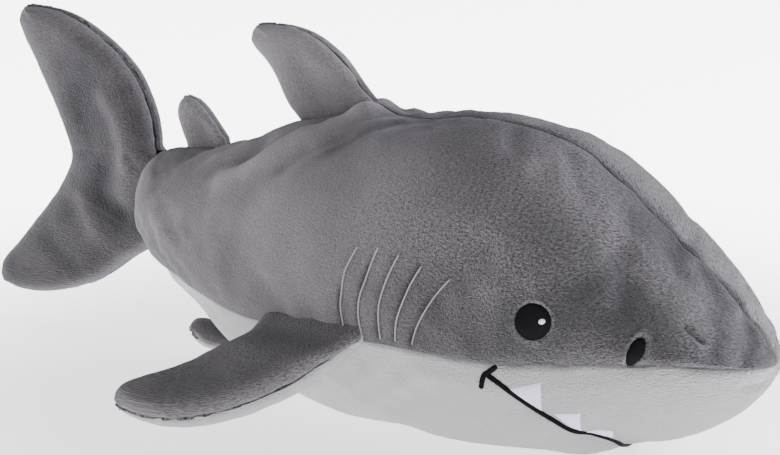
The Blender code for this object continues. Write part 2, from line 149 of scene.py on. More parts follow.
def lumps(points, size, seed=0):
    """Smooth noise from -1 to 1, with lumps of about this size, which may differ along each axis."""
    at = np.asarray(points) / np.asarray(size) + seed * 7.31
    cell = np.floor(at).astype(int)
    t = smooth_step(at - cell)
    total = 0
    for corner in np.ndindex(2, 2, 2):
        share = np.where(corner, t, 1 - t).prod(-1)
        index = (cell + corner) % 32
        total = total + share * RANDOM_TABLE[index[..., 0], index[..., 1], index[..., 2]]
    return total


def smooth_step(x):
    x = np.clip(x, 0, 1)
    return x * x * (3 - 2 * x)


def bell(x, width):
    """1 at 0, falling smoothly to 0 over about this width."""
    return np.exp(-((x / width) ** 2))


def bump(x, low, high, soft):
    """1 between low and high, and 0 outside, with soft ends."""
    return smooth_step((x - low) / soft + 0.5) * smooth_step((high - x) / soft + 0.5)


def turned(first, second, angle):
    """Coordinates along two axes turned by an angle from the ones given."""
    cos, sin = math.cos(math.radians(angle)), math.sin(math.radians(angle))
    return first * cos + second * sin, second * cos - first * sin


def distance(points, line):
    """Each point's distance to a chain of straight pieces."""
    start, step = line[:-1], np.diff(line, axis=0)
    along = ((points[..., None, :] - start) * step).sum(-1) / np.maximum((step**2).sum(-1), 1e-18)
    nearest = start + np.clip(along, 0, 1)[..., None] * step
    return np.linalg.norm(points[..., None, :] - nearest, axis=-1).min(-1)


def closeness(points, line, width):
    """1 on a line, falling smoothly to 0 over about this width."""
    result = np.zeros(points.shape[:-1])
    low, high = line.min(0) - 3 * width, line.max(0) + 3 * width
    near = ((points > low) & (points < high)).all(-1)
    if near.any():
        result[near] = bell(distance(points[near], line), width)
    return result


def evenly(density, count):
    """Places from 0 to 1, closer together where the density is higher."""
    dense = np.linspace(0, 1, 2000)
    total = np.concatenate([[0], np.cumsum(density(dense))])[:-1]
    return np.interp(np.linspace(0, 1, count), total / total[-1], dense)


def unit(vectors):
    return vectors / np.maximum(np.linalg.norm(vectors, axis=-1, keepdims=True), 1e-9)


def run_length(points, axis):
    """How far each point lies along its line of the grid, from the line's first point."""
    step = np.linalg.norm(np.diff(points, axis=axis), axis=-1)
    start = np.zeros_like(np.take(step, [0], axis=axis))
    return np.concatenate([start, np.cumsum(step, axis=axis)], axis=axis)


# ---- the body's surface, as in the part ----


def body_x(u):
    middle, half = (TAIL_END_X + SNOUT_X) / 2, (SNOUT_X - TAIL_END_X) / 2
    return middle - half * np.cos(np.pi * u)


def body_u(x):
    middle, half = (TAIL_END_X + SNOUT_X) / 2, (SNOUT_X - TAIL_END_X) / 2
    return np.arccos(np.clip((middle - x) / half, -1, 1)) / np.pi


def section(u, around):
    """Points of the section at u. Around is 0 at the left side, 90 at the top and 180 at the right."""
    cos, sin = np.cos(np.radians(around)), np.sin(np.radians(around))
    power = np.where(sin >= 0, 2 / UPPER_ROUNDNESS, 2 / LOWER_ROUNDNESS)
    widest = spline(BODY_WIDEST, u)
    height = np.where(sin >= 0, spline(BODY_TOP, u) - widest, widest - spline(BODY_BOTTOM, u))
    y = spline(BODY_HALF_WIDTH, u) * np.sign(cos) * np.abs(cos) ** power
    z = widest + height * np.sign(sin) * np.abs(sin) ** power
    return np.stack([body_x(u) + 0 * y, y, z], -1)


def body_normal(u, around):
    step = 0.004
    along = section(np.minimum(u + step, 1), around) - section(np.maximum(u - step, 0), around)
    across = section(u, around + 1.0) - section(u, around - 1.0)
    return unit(np.cross(across, along))


def seam_angle(u):
    return spline(BELLY_SEAM_ANGLE, u)


def around_of(angle, side):
    return angle if side > 0 else 180 - angle


def belly_around(angle, side):
    """The same on the belly panel, where the angle runs on from the right seam to the left one."""
    return 360 + angle if side > 0 else 180 - angle


def panel_around(panel, u, share):
    """The angle around the body at a share of the way across a panel, starting at its belly seam."""
    seam = seam_angle(u)
    if panel in BACKS:
        return around_of(seam + (90 - seam) * share, BACKS[panel])
    return 180 - seam + (180 + 2 * seam) * share


def panel_share(panel, u, around):
    seam = seam_angle(u)
    if panel in BACKS:
        return (around_of(around, BACKS[panel]) - seam) / (90 - seam)
    return (around - 180 + seam) / (180 + 2 * seam)


# ---- the body's stuffed form ----

# Rises and dips along the back: x, height, reach along the body and reach across it
BACK_RISES = (
    (0.0410, -0.0034, 0.015, 0.034),
    (0.0160, 0.0040, 0.010, 0.011),
    (-0.0260, -0.0014, 0.012, 0.030),
    (0.0980, -0.0012, 0.020, 0.035),
    (0.0700, -0.0010, 0.020, 0.045),
    (0.1380, -0.0014, 0.018, 0.060),
    (0.1640, -0.0032, 0.020, 0.060),
    (-0.0480, -0.0016, 0.013, 0.035),
    (0.1930, 0.0016, 0.010, 0.030),
)

# Folds of the flanks, and the chin that the mouth's stitches draw in and that bulges behind them.
# Each one is a line of places (x, angle), its width and its height
FOLDS = (
    (((0.018, 84), (0.002, 70), (-0.020, 56), (-0.040, 46)), 0.0070, 0.0024),
    (((0.026, 82), (0.016, 66), (-0.002, 50)), 0.0055, -0.0020),
    (((0.000, 80), (-0.018, 66), (-0.034, 58)), 0.0048, -0.0017),
    (((-0.020, 84), (-0.034, 72), (-0.052, 64)), 0.0056, 0.0018),
    (((0.030, 82), (0.020, 71), (0.008, 62)), 0.0032, 0.0012),
    (((0.036, 80), (0.029, 68), (0.020, 58)), 0.0030, -0.0012),
    (((-0.004, 72), (-0.014, 60), (-0.024, 48)), 0.0034, 0.0010),
    (((0.008, 52), (0.002, 34), (0.004, 14)), 0.0090, 0.0008),
    (((-0.012, 46), (-0.018, 28), (-0.018, 8)), 0.0080, -0.0008),
    (((0.034, 84), (0.040, 74), (0.040, 64)), 0.0050, 0.0009),
    (((-0.075, 70), (-0.080, 50), (-0.084, 25)), 0.0060, -0.0008),
    (((-0.055, 40), (-0.064, 20), (-0.070, 0)), 0.0080, 0.0009),
    (((0.094, 84), (0.098, 76), (0.103, 70)), 0.0045, -0.0012),
    (((0.122, 80), (0.128, 72), (0.136, 66)), 0.0050, -0.0010),
    (((0.150, 76), (0.156, 66), (0.160, 58)), 0.0050, -0.0009),
    (((0.185, 38), (0.188, 35), (0.191, 33)), 0.0013, -0.0022),
    (((0.154, -38), (0.160, -50), (0.162, -70)), 0.0090, -0.0034),
    (((0.129, -30), (0.138, -42), (0.144, -58)), 0.0110, 0.0016),
)

# Streaks of tone on the back, some where the pile is brushed against its lie and some painted light and shade
# on the ridges and dips of the folds: places (x, angle), width and tone
BRUSHED_AND_SHADED = (
    (((0.095, 52), (0.112, 46), (0.132, 42)), 0.0130, -0.07),
    (((0.090, 8), (0.105, 6), (0.120, 4)), 0.0080, -0.05),
    (((0.105, 74), (0.145, 66), (0.182, 56)), 0.0140, 0.34),
    (((0.148, 9), (0.158, 7), (0.168, 5)), 0.0060, 0.10),
    (((0.012, 60), (-0.004, 54), (-0.020, 46)), 0.0060, 0.10),
    (((0.028, 68), (0.020, 58), (0.010, 50)), 0.0050, -0.14),
    (((0.040, 40), (0.036, 28), (0.036, 14)), 0.0080, -0.06),
    (((0.060, 60), (0.072, 56), (0.084, 54)), 0.0090, 0.08),
)

# Lumps of the filling that show through the skin: size and height
FILLING_LUMPS = ((0.034, 0.0007), (0.013, 0.0003))

# How softly the lowest part of the body flattens against the floor
FLOOR_SOFTNESS = 0.0020

PUFF = {}


def places_on(line, side, count):
    """Points of the part's surface along a line of places, each one an x and an angle."""
    path = spline(line, np.linspace(0, 1, count))
    return section(body_u(path[:, 0]), around_of(path[:, 1], side))


def folds(points):
    """How high the folds and rises lift the skin."""
    height = np.zeros(points.shape[:-1])
    upper = smooth_step((points[..., 2] - 0.045) / 0.030)
    for x, rise, reach, across in BACK_RISES:
        height += rise * bell(points[..., 0] - x, reach) * bell(points[..., 1], across) * upper
    for line, width, rise in FOLDS:
        for _, side in SIDES:
            height += rise * closeness(points, places_on(line, side, 8), width)
    for seed, (size, rise) in enumerate(FILLING_LUMPS, 1):
        height += rise * lumps(points, size, seed)
    return height


def resting(z):
    """Heights over the floor, with the lowest part flattened softly against it."""
    return (z + np.sqrt(z**2 + FLOOR_SOFTNESS**2)) / 2


def form(panel, u, around, lift=0.0):
    """Points of the stuffed skin at a height over it."""
    u, around = np.broadcast_arrays(np.asarray(u, float), np.asarray(around, float))
    points = section(u, around)
    height = folds(points) + lift
    if PUFF:
        height = height + sampled(PUFF[panel], u, panel_share(panel, u, around))[..., 0]
    points = points + height[..., None] * body_normal(u, around)
    points[..., 2] = resting(points[..., 2])
    return points


# ---- meshes ----


def grid_faces(rows, columns):
    index = np.arange(rows * columns).reshape(rows, columns)
    corners = [index[:-1, :-1], index[:-1, 1:], index[1:, 1:], index[1:, :-1]]
    return np.stack([corner.ravel() for corner in corners], 1)


def add_mesh(name, points, faces, material, uv=None, values=None):
    """A smooth mesh. UV is a point's place on the flat fabric, and values are further numbers of it."""
    points = np.asarray(points, float).reshape(-1, 3)
    mesh = bpy.data.meshes.new(name)
    mesh.from_pydata(points.tolist(), [], [list(map(int, face)) for face in faces])
    mesh.shade_smooth()
    mesh.materials.append(material)
    if uv is not None:
        corners = np.empty(len(mesh.loops), np.int32)
        mesh.loops.foreach_get("vertex_index", corners)
        layer = mesh.uv_layers.new(name="pile")
        layer.data.foreach_set("uv", np.asarray(uv, np.float32).reshape(-1, 2)[corners].ravel())
    for label, numbers in (values or {}).items():
        attribute = mesh.attributes.new(label, "FLOAT", "POINT")
        attribute.data.foreach_set("value", np.asarray(numbers, np.float32).ravel())
    obj = bpy.data.objects.new(name, mesh)
    bpy.context.scene.collection.objects.link(obj)
    return obj


def add_grid(name, grid, inside, material, uv=None, values=None):
    """A mesh over a grid of points, its faces looking away from a point inside."""
    points = grid.reshape(-1, 3)
    faces = grid_faces(*grid.shape[:2])
    corners = points[faces[:, :3]]
    normals = np.cross(corners[:, 1] - corners[:, 0], corners[:, 2] - corners[:, 0])
    if (normals * (corners.mean(1) - inside)).sum() <= 0:
        faces = faces[:, ::-1]
    return add_mesh(name, points, faces, material, uv, values)


def outside_out(points, faces):
    """The faces of a closed mesh, turned so that they look outwards."""
    corners = points[np.array([face[:3] for face in faces])]
    volume = (np.cross(corners[:, 0], corners[:, 1]) * corners[:, 2]).sum()
    return [face[::-1] for face in faces] if volume < 0 else faces


def edited(obj, change):
    """Changes an object's mesh by a function that takes it as bmesh."""
    work = bmesh.new()
    work.from_mesh(obj.data)
    change(work)
    work.to_mesh(obj.data)
    work.free()


def weld(obj):
    """Joins points that lie on each other."""
    edited(obj, lambda work: bmesh.ops.remove_doubles(work, verts=work.verts, dist=1e-6))


def cap_ends(obj):
    """Closes the open ends of a mesh."""

    def fill(work):
        open_edges = [edge for edge in work.edges if edge.is_boundary]
        bmesh.ops.holes_fill(work, edges=open_edges, sides=0)
        bmesh.ops.recalc_face_normals(work, faces=work.faces)

    edited(obj, fill)


def thicken(obj):
    solid = obj.modifiers.new("fabric", "SOLIDIFY")
    solid.thickness = FABRIC
    solid.offset = -1


# ---- materials ----


def node(tree, kind, **settings):
    made = tree.nodes.new(kind)
    for key, value in settings.items():
        setattr(made, key, value)
    return made


def math_node(tree, operation, first, second):
    made = node(tree, "ShaderNodeMath", operation=operation)
    for socket, value in zip(made.inputs, (first, second)):
        if isinstance(value, (int, float)):
            socket.default_value = value
        else:
            tree.links.new(value, socket)
    return made.outputs[0]


def new_material(name, **values):
    """A material with its node tree and its shader. Values go to the shader's sockets of those names."""
    material = bpy.data.materials.new(name)
    material.use_nodes = True
    tree = material.node_tree
    shader = tree.nodes["Principled BSDF"]
    for label, value in values.items():
        shader.inputs[label.replace("_", " ")].default_value = value
    return material, tree, shader


def noise_at(tree, coordinates, size, detail=2.0, roughness=0.55):
    """Noise in fabric coordinates, its lumps stretched to a size of (along, across)."""
    mapping = node(tree, "ShaderNodeMapping")
    mapping.inputs["Scale"].default_value = (1 / size[0], 1 / size[1], 1 / size[-1])
    tree.links.new(coordinates, mapping.inputs["Vector"])
    noise = node(tree, "ShaderNodeTexNoise")
    noise.inputs["Scale"].default_value = 1.0
    noise.inputs["Detail"].default_value = detail
    noise.inputs["Roughness"].default_value = roughness
    tree.links.new(mapping.outputs[0], noise.inputs["Vector"])
    return noise.outputs["Fac"]


def mixed(tree, first, second, factor):
    """A colour between two. The first may be a colour or another node's output."""
    mix = node(tree, "ShaderNodeMix", data_type="RGBA")
    if isinstance(first, tuple):
        mix.inputs["A"].default_value = (*first, 1)
    else:
        tree.links.new(first, mix.inputs["A"])
    mix.inputs["B"].default_value = (*second, 1)
    tree.links.new(factor, mix.inputs["Factor"])
    return mix.outputs["Result"]


def scaled(colour, amount):
    return tuple(min(1.0, amount * value) for value in colour)


def finish_shader(tree, shader, colour, relief, strength, reach):
    """Gives a shader its colour and a fine relief."""
    tree.links.new(colour, shader.inputs["Base Color"])
    rough = node(tree, "ShaderNodeBump")
    rough.inputs["Strength"].default_value = strength
    rough.inputs["Distance"].default_value = reach
    tree.links.new(relief, rough.inputs["Height"])
    tree.links.new(rough.outputs[0], shader.inputs["Normal"])


def plush(name, dark, light, crease_shade_colour, contrast, middle):
    """Short pile: small leaning tufts, patches where it is brushed the other way, light and shade painted in by
    the mesh's tone values, and painted shade in the creases.
    """
    material, tree, shader = new_material(
        name, Roughness=0.85, Specular_IOR_Level=0.15, Sheen_Weight=0.30, Sheen_Roughness=0.45
    )
    shader.inputs["Sheen Tint"].default_value = (0.93, 0.91, 1.0, 1)
    fabric = node(tree, "ShaderNodeUVMap", uv_map="pile").outputs[0]
    place = node(tree, "ShaderNodeTexCoord").outputs["Object"]
    tufts = noise_at(tree, fabric, (0.0016, 0.0011), 3.0, 0.75)
    hairs = noise_at(tree, fabric, (0.0009, 0.0006), 1.0)
    patches = noise_at(tree, place, (0.030, 0.022, 0.022), 3.0)
    nap_and_shade, crease_shade, grain = (
        node(tree, "ShaderNodeAttribute", attribute_name=label).outputs["Fac"]
        for label in ("nap_and_shade", "crease_shade", "grain")
    )
    pile = 0
    for source, amount in ((tufts, 2.6), (hairs, 1.8)):
        swing = math_node(tree, "SUBTRACT", source, 0.5)
        pile = math_node(tree, "ADD", pile, math_node(tree, "MULTIPLY", swing, amount * contrast))
    pile = math_node(tree, "ADD", math_node(tree, "MULTIPLY", pile, grain), 1.0)
    brushed = math_node(tree, "SUBTRACT", patches, 0.5)
    brushed = math_node(tree, "MULTIPLY", brushed, 0.30 * contrast)
    tone = math_node(tree, "ADD", nap_and_shade, middle)
    tone = math_node(tree, "ADD", tone, brushed)
    tone = math_node(tree, "MULTIPLY", tone, pile)
    # The painted shade of the creases is laid over the tone, which carries painted light and shade too
    colour = mixed(tree, mixed(tree, dark, light, tone), crease_shade_colour, crease_shade)
    relief = math_node(tree, "ADD", tufts, math_node(tree, "MULTIPLY", hairs, 0.6))
    relief = math_node(tree, "MULTIPLY", relief, grain)
    finish_shader(tree, shader, colour, relief, 1.0, 0.0013)
    return material


def thread(name, colour, roughness):
    """Satin stitch: fine parallel threads, with small differences from one to the next."""
    material, tree, shader = new_material(name, Roughness=roughness, Specular_IOR_Level=0.06)
    fabric = node(tree, "ShaderNodeUVMap", uv_map="pile").outputs[0]
    strands = noise_at(tree, fabric, (0.006, 0.00045), 1.0)
    shades = mixed(tree, scaled(colour, 0.70), scaled(colour, 1.15), strands)
    finish_shader(tree, shader, shades, strands, 0.6, 0.0004)
    return material


def fibre(name, colour):
    """Loose polyester filling: pale tangled fibres."""
    material, tree, shader = new_material(name, Roughness=0.95)
    place = node(tree, "ShaderNodeTexCoord").outputs["Object"]
    tangle = noise_at(tree, place, (0.004, 0.0012, 0.0025), 5.0, 0.7)
    shades = mixed(tree, scaled(colour, 0.72), colour, tangle)
    finish_shader(tree, shader, shades, tangle, 0.9, 0.0020)
    return material


GREY_PLUSH = plush("grey_plush", GREY_DARK, GREY_LIGHT, GREY_CREASE_SHADE, 1.0, 0.55)
PALE_PLUSH = plush("pale_plush", PALE_DARK, PALE_LIGHT, PALE_CREASE_SHADE, 0.3, 0.55)
BLACK_THREAD = thread("black_thread", BLACK, 0.6)
WHITE_THREAD = thread("white_thread", WHITE, 0.5)
SILVER_THREAD = thread("silver_thread", SILVER, 0.55)
FIBRE_FILLING = fibre("fibre_filling", FIBRE)


def stands_for(replaced):
    """Hides the CAD node that a piece stands for."""
    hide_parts(replaced)


# ---- cloth ----

CLOTH_FRAMES = 20
CLOTH_SETTINGS = {
    "quality": 6,
    "mass": 0.15,
    "tension_stiffness": 20,
    "compression_stiffness": 20,
    "shear_stiffness": 8,
    "bending_stiffness": 0.4,
    "use_pressure": True,
}


def inflate(points, faces, pinned, pressure, spare):
    """How far each point moves when cloth is blown up, its pinned points held and some to spare."""
    obj = add_mesh("cloth_trial", points, faces, FIBRE_FILLING)
    held = obj.vertex_groups.new(name="seams")
    held.add([int(i) for i in pinned], 1.0, "REPLACE")
    cloth = obj.modifiers.new("cloth", "CLOTH").settings
    for label, value in CLOTH_SETTINGS.items():
        setattr(cloth, label, value)
    cloth.uniform_pressure_force = pressure
    cloth.shrink_min = -spare
    cloth.vertex_group_mass = "seams"
    cloth.effector_weights.gravity = 0
    scene = bpy.context.scene
    for moment in range(1, CLOTH_FRAMES + 1):
        scene.frame_set(moment)
    moved = obj.evaluated_get(bpy.context.evaluated_depsgraph_get()).data
    after = np.empty(len(moved.vertices) * 3)
    moved.vertices.foreach_get("co", after)
    bpy.data.objects.remove(obj)
    scene.frame_set(1)
    return after.reshape(-1, 3) - points


def capped(height, most):
    """Heights that never pass a limit, bending towards it smoothly."""
    return most * np.tanh(height / most)


# ---- the body ----

CLOTH_ROWS, BACK_CLOTH, BELLY_CLOTH = 56, 18, 26
BODY_PRESSURE, BODY_SPARE, BODY_PUFF_CAP = 4.0, 0.012, 0.0018
BODY_ROWS, BACK_COLUMNS, BELLY_COLUMNS = 320, 105, 120
# How much lighter a fold's rise and darker its dip are painted, for each metre of height
FOLD_SHADING = 100
LAST_ROW = 0.9997
SPOT_REACH = 0.02


def body_puff():
    """Blows the body's three panels up between their seams and keeps how far each one rises."""
    u = np.linspace(0.01, 0.99, CLOTH_ROWS)[:, None]
    left, right = (panel_around(panel, u, np.linspace(0, 1, BACK_CLOTH)) for panel in BACKS)
    belly = panel_around("belly_skin", u, np.linspace(0, 1, BELLY_CLOTH))
    loop = np.concatenate([left, right[:, -2::-1], belly[:, 1:-1]], axis=1)
    points = section(u, loop)
    points[..., 2] = resting(points[..., 2])
    columns = loop.shape[1]
    faces = []
    for i in range(CLOTH_ROWS - 1):
        for j in range(columns):
            a, b = i * columns + j, i * columns + (j + 1) % columns
            faces.append((a, b, b + columns, a + columns))
    flat = points.reshape(-1, 3)
    rims = [*range(columns), *range((CLOTH_ROWS - 1) * columns, CLOTH_ROWS * columns)]
    seams = [0, BACK_CLOTH - 1, 2 * BACK_CLOTH - 2]
    pinned = {i * columns + j for i in range(CLOTH_ROWS) for j in seams} | set(rims)
    faces = outside_out(flat - flat.mean(0), faces)
    move = inflate(flat, faces, sorted(pinned), BODY_PRESSURE, BODY_SPARE).reshape(points.shape)
    height = capped((move * body_normal(u, loop)).sum(-1), BODY_PUFF_CAP)[..., None]
    last = BACK_CLOTH - 1
    PUFF["left_back_skin"] = height[:, : last + 1]
    PUFF["right_back_skin"] = height[:, last : 2 * last + 1][:, ::-1]
    PUFF["belly_skin"] = np.concatenate([height[:, 2 * last :], height[:, :1]], axis=1)


def row_density(u):
    """The skins' rows are closer together at the gills and the face."""
    return 1 + 1.1 * bump(u, 0.46, 0.60, 0.04) + 0.6 * bump(u, 0.61, 0.80, 0.05)


def column_density(share):
    """A back panel's columns are closer together at the face and at the seam along the back."""
    return 1 + 1.2 * bump(share, -0.1, 0.30, 0.06) + 0.8 * bump(share, 0.96, 1.1, 0.05)


def tucked(points, normal):
    """Turns both side edges of a panel inwards, into the seams."""
    first = [points[:, :1] - normal[:, :1] * depth for depth in TUCK[::-1]]
    last = [points[:, -1:] - normal[:, -1:] * depth for depth in TUCK]
    return np.concatenate([*first, points, *last], axis=1)


def widened(values):
    """Values for the tucked edges too, each the same as at the edge beside it."""
    extra = len(TUCK)
    return np.concatenate([values[:, :1]] * extra + [values] + [values[:, -1:]] * extra, axis=1)


def local(points, place, side):
    """Coordinates of points forwards, upwards and outwards along the skin, from a place on it."""
    u, around = body_u(place[0]), np.asarray(around_of(place[1], side))
    normal = body_normal(u, around)
    forward = unit(np.array([1.0, 0, 0]) - normal * normal[0])
    up = np.cross(normal, forward)
    up *= np.sign(up[2])
    away = points - section(u, around)
    return away @ forward, away @ up, away @ normal


def face_relief(points, side):
    """The seats that the embroidery presses into a back panel, the shade painted into their creases and the
    light painted on their raised rims.
    """
    height, crease_shade, rim_light = (np.zeros(points.shape[:-1]) for _ in range(3))
    for place, size, tilt in ((EYE, (EYE_SIZE, EYE_SIZE), 0), (NOSTRIL, NOSTRIL_SIZE, NOSTRIL_TILT)):
        forward, up, off = local(points, place, side)
        along, across = turned(forward, up, tilt)
        long, short = size[0] / 2, size[1] / 2
        ring = np.hypot(along / long, across / short)
        beyond = (ring - 1) * short
        near = np.abs(off) < SPOT_REACH
        height -= near * 0.0011 * smooth_step((1.10 - ring) / 0.20)
        height += near * 0.0008 * bell(beyond - 0.0010, 0.0008)
        # Painted shade in the crease at the seat's edge, and painted light on the raised rim just outside it
        crease_shade += near * 0.30 * bell(beyond, 0.0003)
        rim_light += near * 0.30 * bell(beyond - 0.0007, 0.0005)
    for line in GILLS:
        thread_line = places_on(line, side, 12)
        groove_line = places_on([(x - 0.0012, angle) for x, angle in line], side, 12)
        height += 0.0003 * closeness(points, thread_line, 0.0009)
        height -= 0.0012 * closeness(points, groove_line, 0.0009)
        height -= 0.0005 * closeness(points, groove_line, 0.0040)
        # Painted shade in the gill's groove
        crease_shade += 0.95 * closeness(points, groove_line, 0.0008)
    return height, crease_shade, rim_light


def mouth_relief(points):
    """The groove that the mouth's stitches press into the belly panel."""
    path = spline(mouth_places(), np.linspace(0, 1, 40))
    line = section(body_u(path[:, 0]), path[:, 1])
    return 0.0004 * closeness(points, line, 0.0045) - 0.0009 * closeness(points, line, 0.0022)


def seam_relief(points, across):
    """Fabric drawn in by the thread beside a panel's two long seams, and the shade painted into the seams."""
    along = points[..., :1] * [1, 0, 0]
    height, crease_shade = 0, 0
    for number, depth in enumerate((across, across[:, -1:] - across)):
        pull = 0.55 + 0.75 * np.clip(lumps(along, 0.009, 3 + number), -0.5, 1)
        height = height - SEAM_DEPTH * pull * bell(depth, SEAM_WIDTH)
        height = height + 0.00045 * lumps(along, 0.0065, 5 + number) * np.exp(-depth / 0.006)
        # Painted shade in the seam's groove
        crease_shade = crease_shade + 0.8 * np.clip(pull, 0, 1) * bell(depth, 0.0006)
    return height, crease_shade


def nap_and_painted_shading(points):
    """The back's tone: painted shade on the lower flanks, painted light on the upper left side of the head, and
    the streaks of pile and painted shading.
    """
    x, height = points[..., 0], points[..., 2]
    # Painted shade: the lower flanks darker towards the head, and a little towards the tail
    flank = smooth_step((0.112 - height) / 0.045)
    nap_and_shade = -0.05 - 0.24 * flank * smooth_step((x - 0.015) / 0.08)
    nap_and_shade = nap_and_shade - 0.05 * flank * (1 - smooth_step((x + 0.02) / 0.05))
    # Painted light on the upper left side of the head, which light from behind grazes
    left = points[..., 1].clip(0)
    ridge = smooth_step(left / 0.010) * bell(left, 0.034)
    nap_and_shade = nap_and_shade + 0.85 * ridge * smooth_step((x - 0.050) / 0.060)
    for line, width, tone in BRUSHED_AND_SHADED:
        for _, side in SIDES:
            nap_and_shade = nap_and_shade + tone * closeness(points, places_on(line, side, 8), width)
    return nap_and_shade


def body_skin(panel, columns, material, replaced):
    """One of the body's three panels, with its seams, relief and tones, and light and shade painted into its
    colour.
    """
    u = evenly(row_density, BODY_ROWS)[:, None] * LAST_ROW
    share = evenly(column_density, columns) if panel in BACKS else np.linspace(0, 1, columns)
    around = panel_around(panel, u, share)
    base, normal = form(panel, u, around), body_normal(u, around)
    across = run_length(base, 1)
    relief, crease_shade = seam_relief(base, across)
    # Painted light and shade on the folds: lighter where they rise, darker where they dip
    nap_and_shade = FOLD_SHADING * folds(base)
    if panel in BACKS:
        pressed, face_shade, rim_light = face_relief(base, BACKS[panel])
        relief, crease_shade = relief + pressed, crease_shade + face_shade
        nap_and_shade = nap_and_shade + nap_and_painted_shading(base) + rim_light
    else:
        relief = relief + mouth_relief(base)
    relief = relief * smooth_step(across[:, -1:] / 0.030) + 0.00016 * lumps(base, 0.0024, 8)
    points = base + relief[..., None] * normal
    points[..., 2] = np.maximum(points[..., 2], 0.0002)
    head = smooth_step((base[..., 0] - 0.02) / 0.11)
    snout = smooth_step((base[..., 0] - 0.10) / 0.07)
    crown = smooth_step((base[..., 2] - 0.055) / 0.050)
    grain = 0.52 + head * (0.8 + 0.9 * crown) + 0.6 * snout
    values = {"nap_and_shade": nap_and_shade, "crease_shade": np.clip(crease_shade, 0, 1), "grain": grain}
    values = {label: widened(numbers) for label, numbers in values.items()}
    uv = widened(np.stack([base[..., 0], across], -1))
    points = tucked(points, normal)
    inside = points.reshape(-1, 3).mean(0) + (0, 0, 0 if panel in BACKS else 0.1)
    obj = add_grid(panel, points, inside, material, uv, values)
    thicken(obj)
    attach(obj, "body")
    stands_for(replaced)


def body_stuffing():
    """One block of fibre, a little inside the three skins."""
    u = np.linspace(0.03, 0.985, 40)[:, None]
    left, right, under = (
        form(panel, u, panel_around(panel, u, np.linspace(0, 1, columns)), -FILLING_DEPTH)
        for panel, columns in (*((back, 14) for back in BACKS), ("belly_skin", 16))
    )
    under[..., 2] = np.maximum(under[..., 2], FILLING_DEPTH)
    ring = np.concatenate([left, right[:, -2::-1], under[:, 1:-1], left[:, :1]], axis=1)
    first, last = (np.broadcast_to(ring[row].mean(0), ring[[row]].shape) for row in (0, -1))
    points = np.concatenate([first, ring, last])
    obj = add_grid("body_stuffing", points, points.reshape(-1, 3).mean(0), FIBRE_FILLING)
    weld(obj)
    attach(obj, "body")
    stands_for("body_filling")


# ---- the fins ----

FIN_SEAM = 0.0018
DENT = 0.0060
CROWDING = 2.3
ROOT_FLARE = 0.020
FRONT_POWER, BACK_POWER = 2.7, 2.1
ROOT_SINK = 0.0075
SINK_SHARES = (1.0, 0.66, 0.33)
FIN_CLOTH = (30, 17)
FIN_PRESSURE, FIN_SPARE, FIN_PUFF_CAP = 3.0, 0.03, 0.0022
STUFFING_GRID = (26, 14)
STUFFING_SHARE = 0.80


class FinPlane:
    """The flat middle of a fin: a corner, a direction forwards along the seam and one outwards."""

    def __init__(self, corner, forward, outward):
        self.corner = Vector(corner)
        self.forward = Vector(forward).normalized()
        self.outward = (Vector(outward) - self.forward * self.forward.dot(Vector(outward))).normalized()
        self.side = self.forward.cross(self.outward)

    def place(self, flat, off):
        """Points in space from points in the plane and their distances off it."""
        axes = np.array([self.forward, self.outward, self.side])
        off = np.broadcast_to(off, flat.shape[:-1])
        return np.array(self.corner) + np.concatenate([flat, off[..., None]], -1) @ axes


def grown(line, outward, amount):
    """An outline moved outwards, across its own direction."""
    step = np.gradient(line, axis=0)
    across = unit(np.stack([step[:, 1], -step[:, 0]], 1))
    across *= np.sign((across * outward).sum(1, keepdims=True))
    return line + amount * across


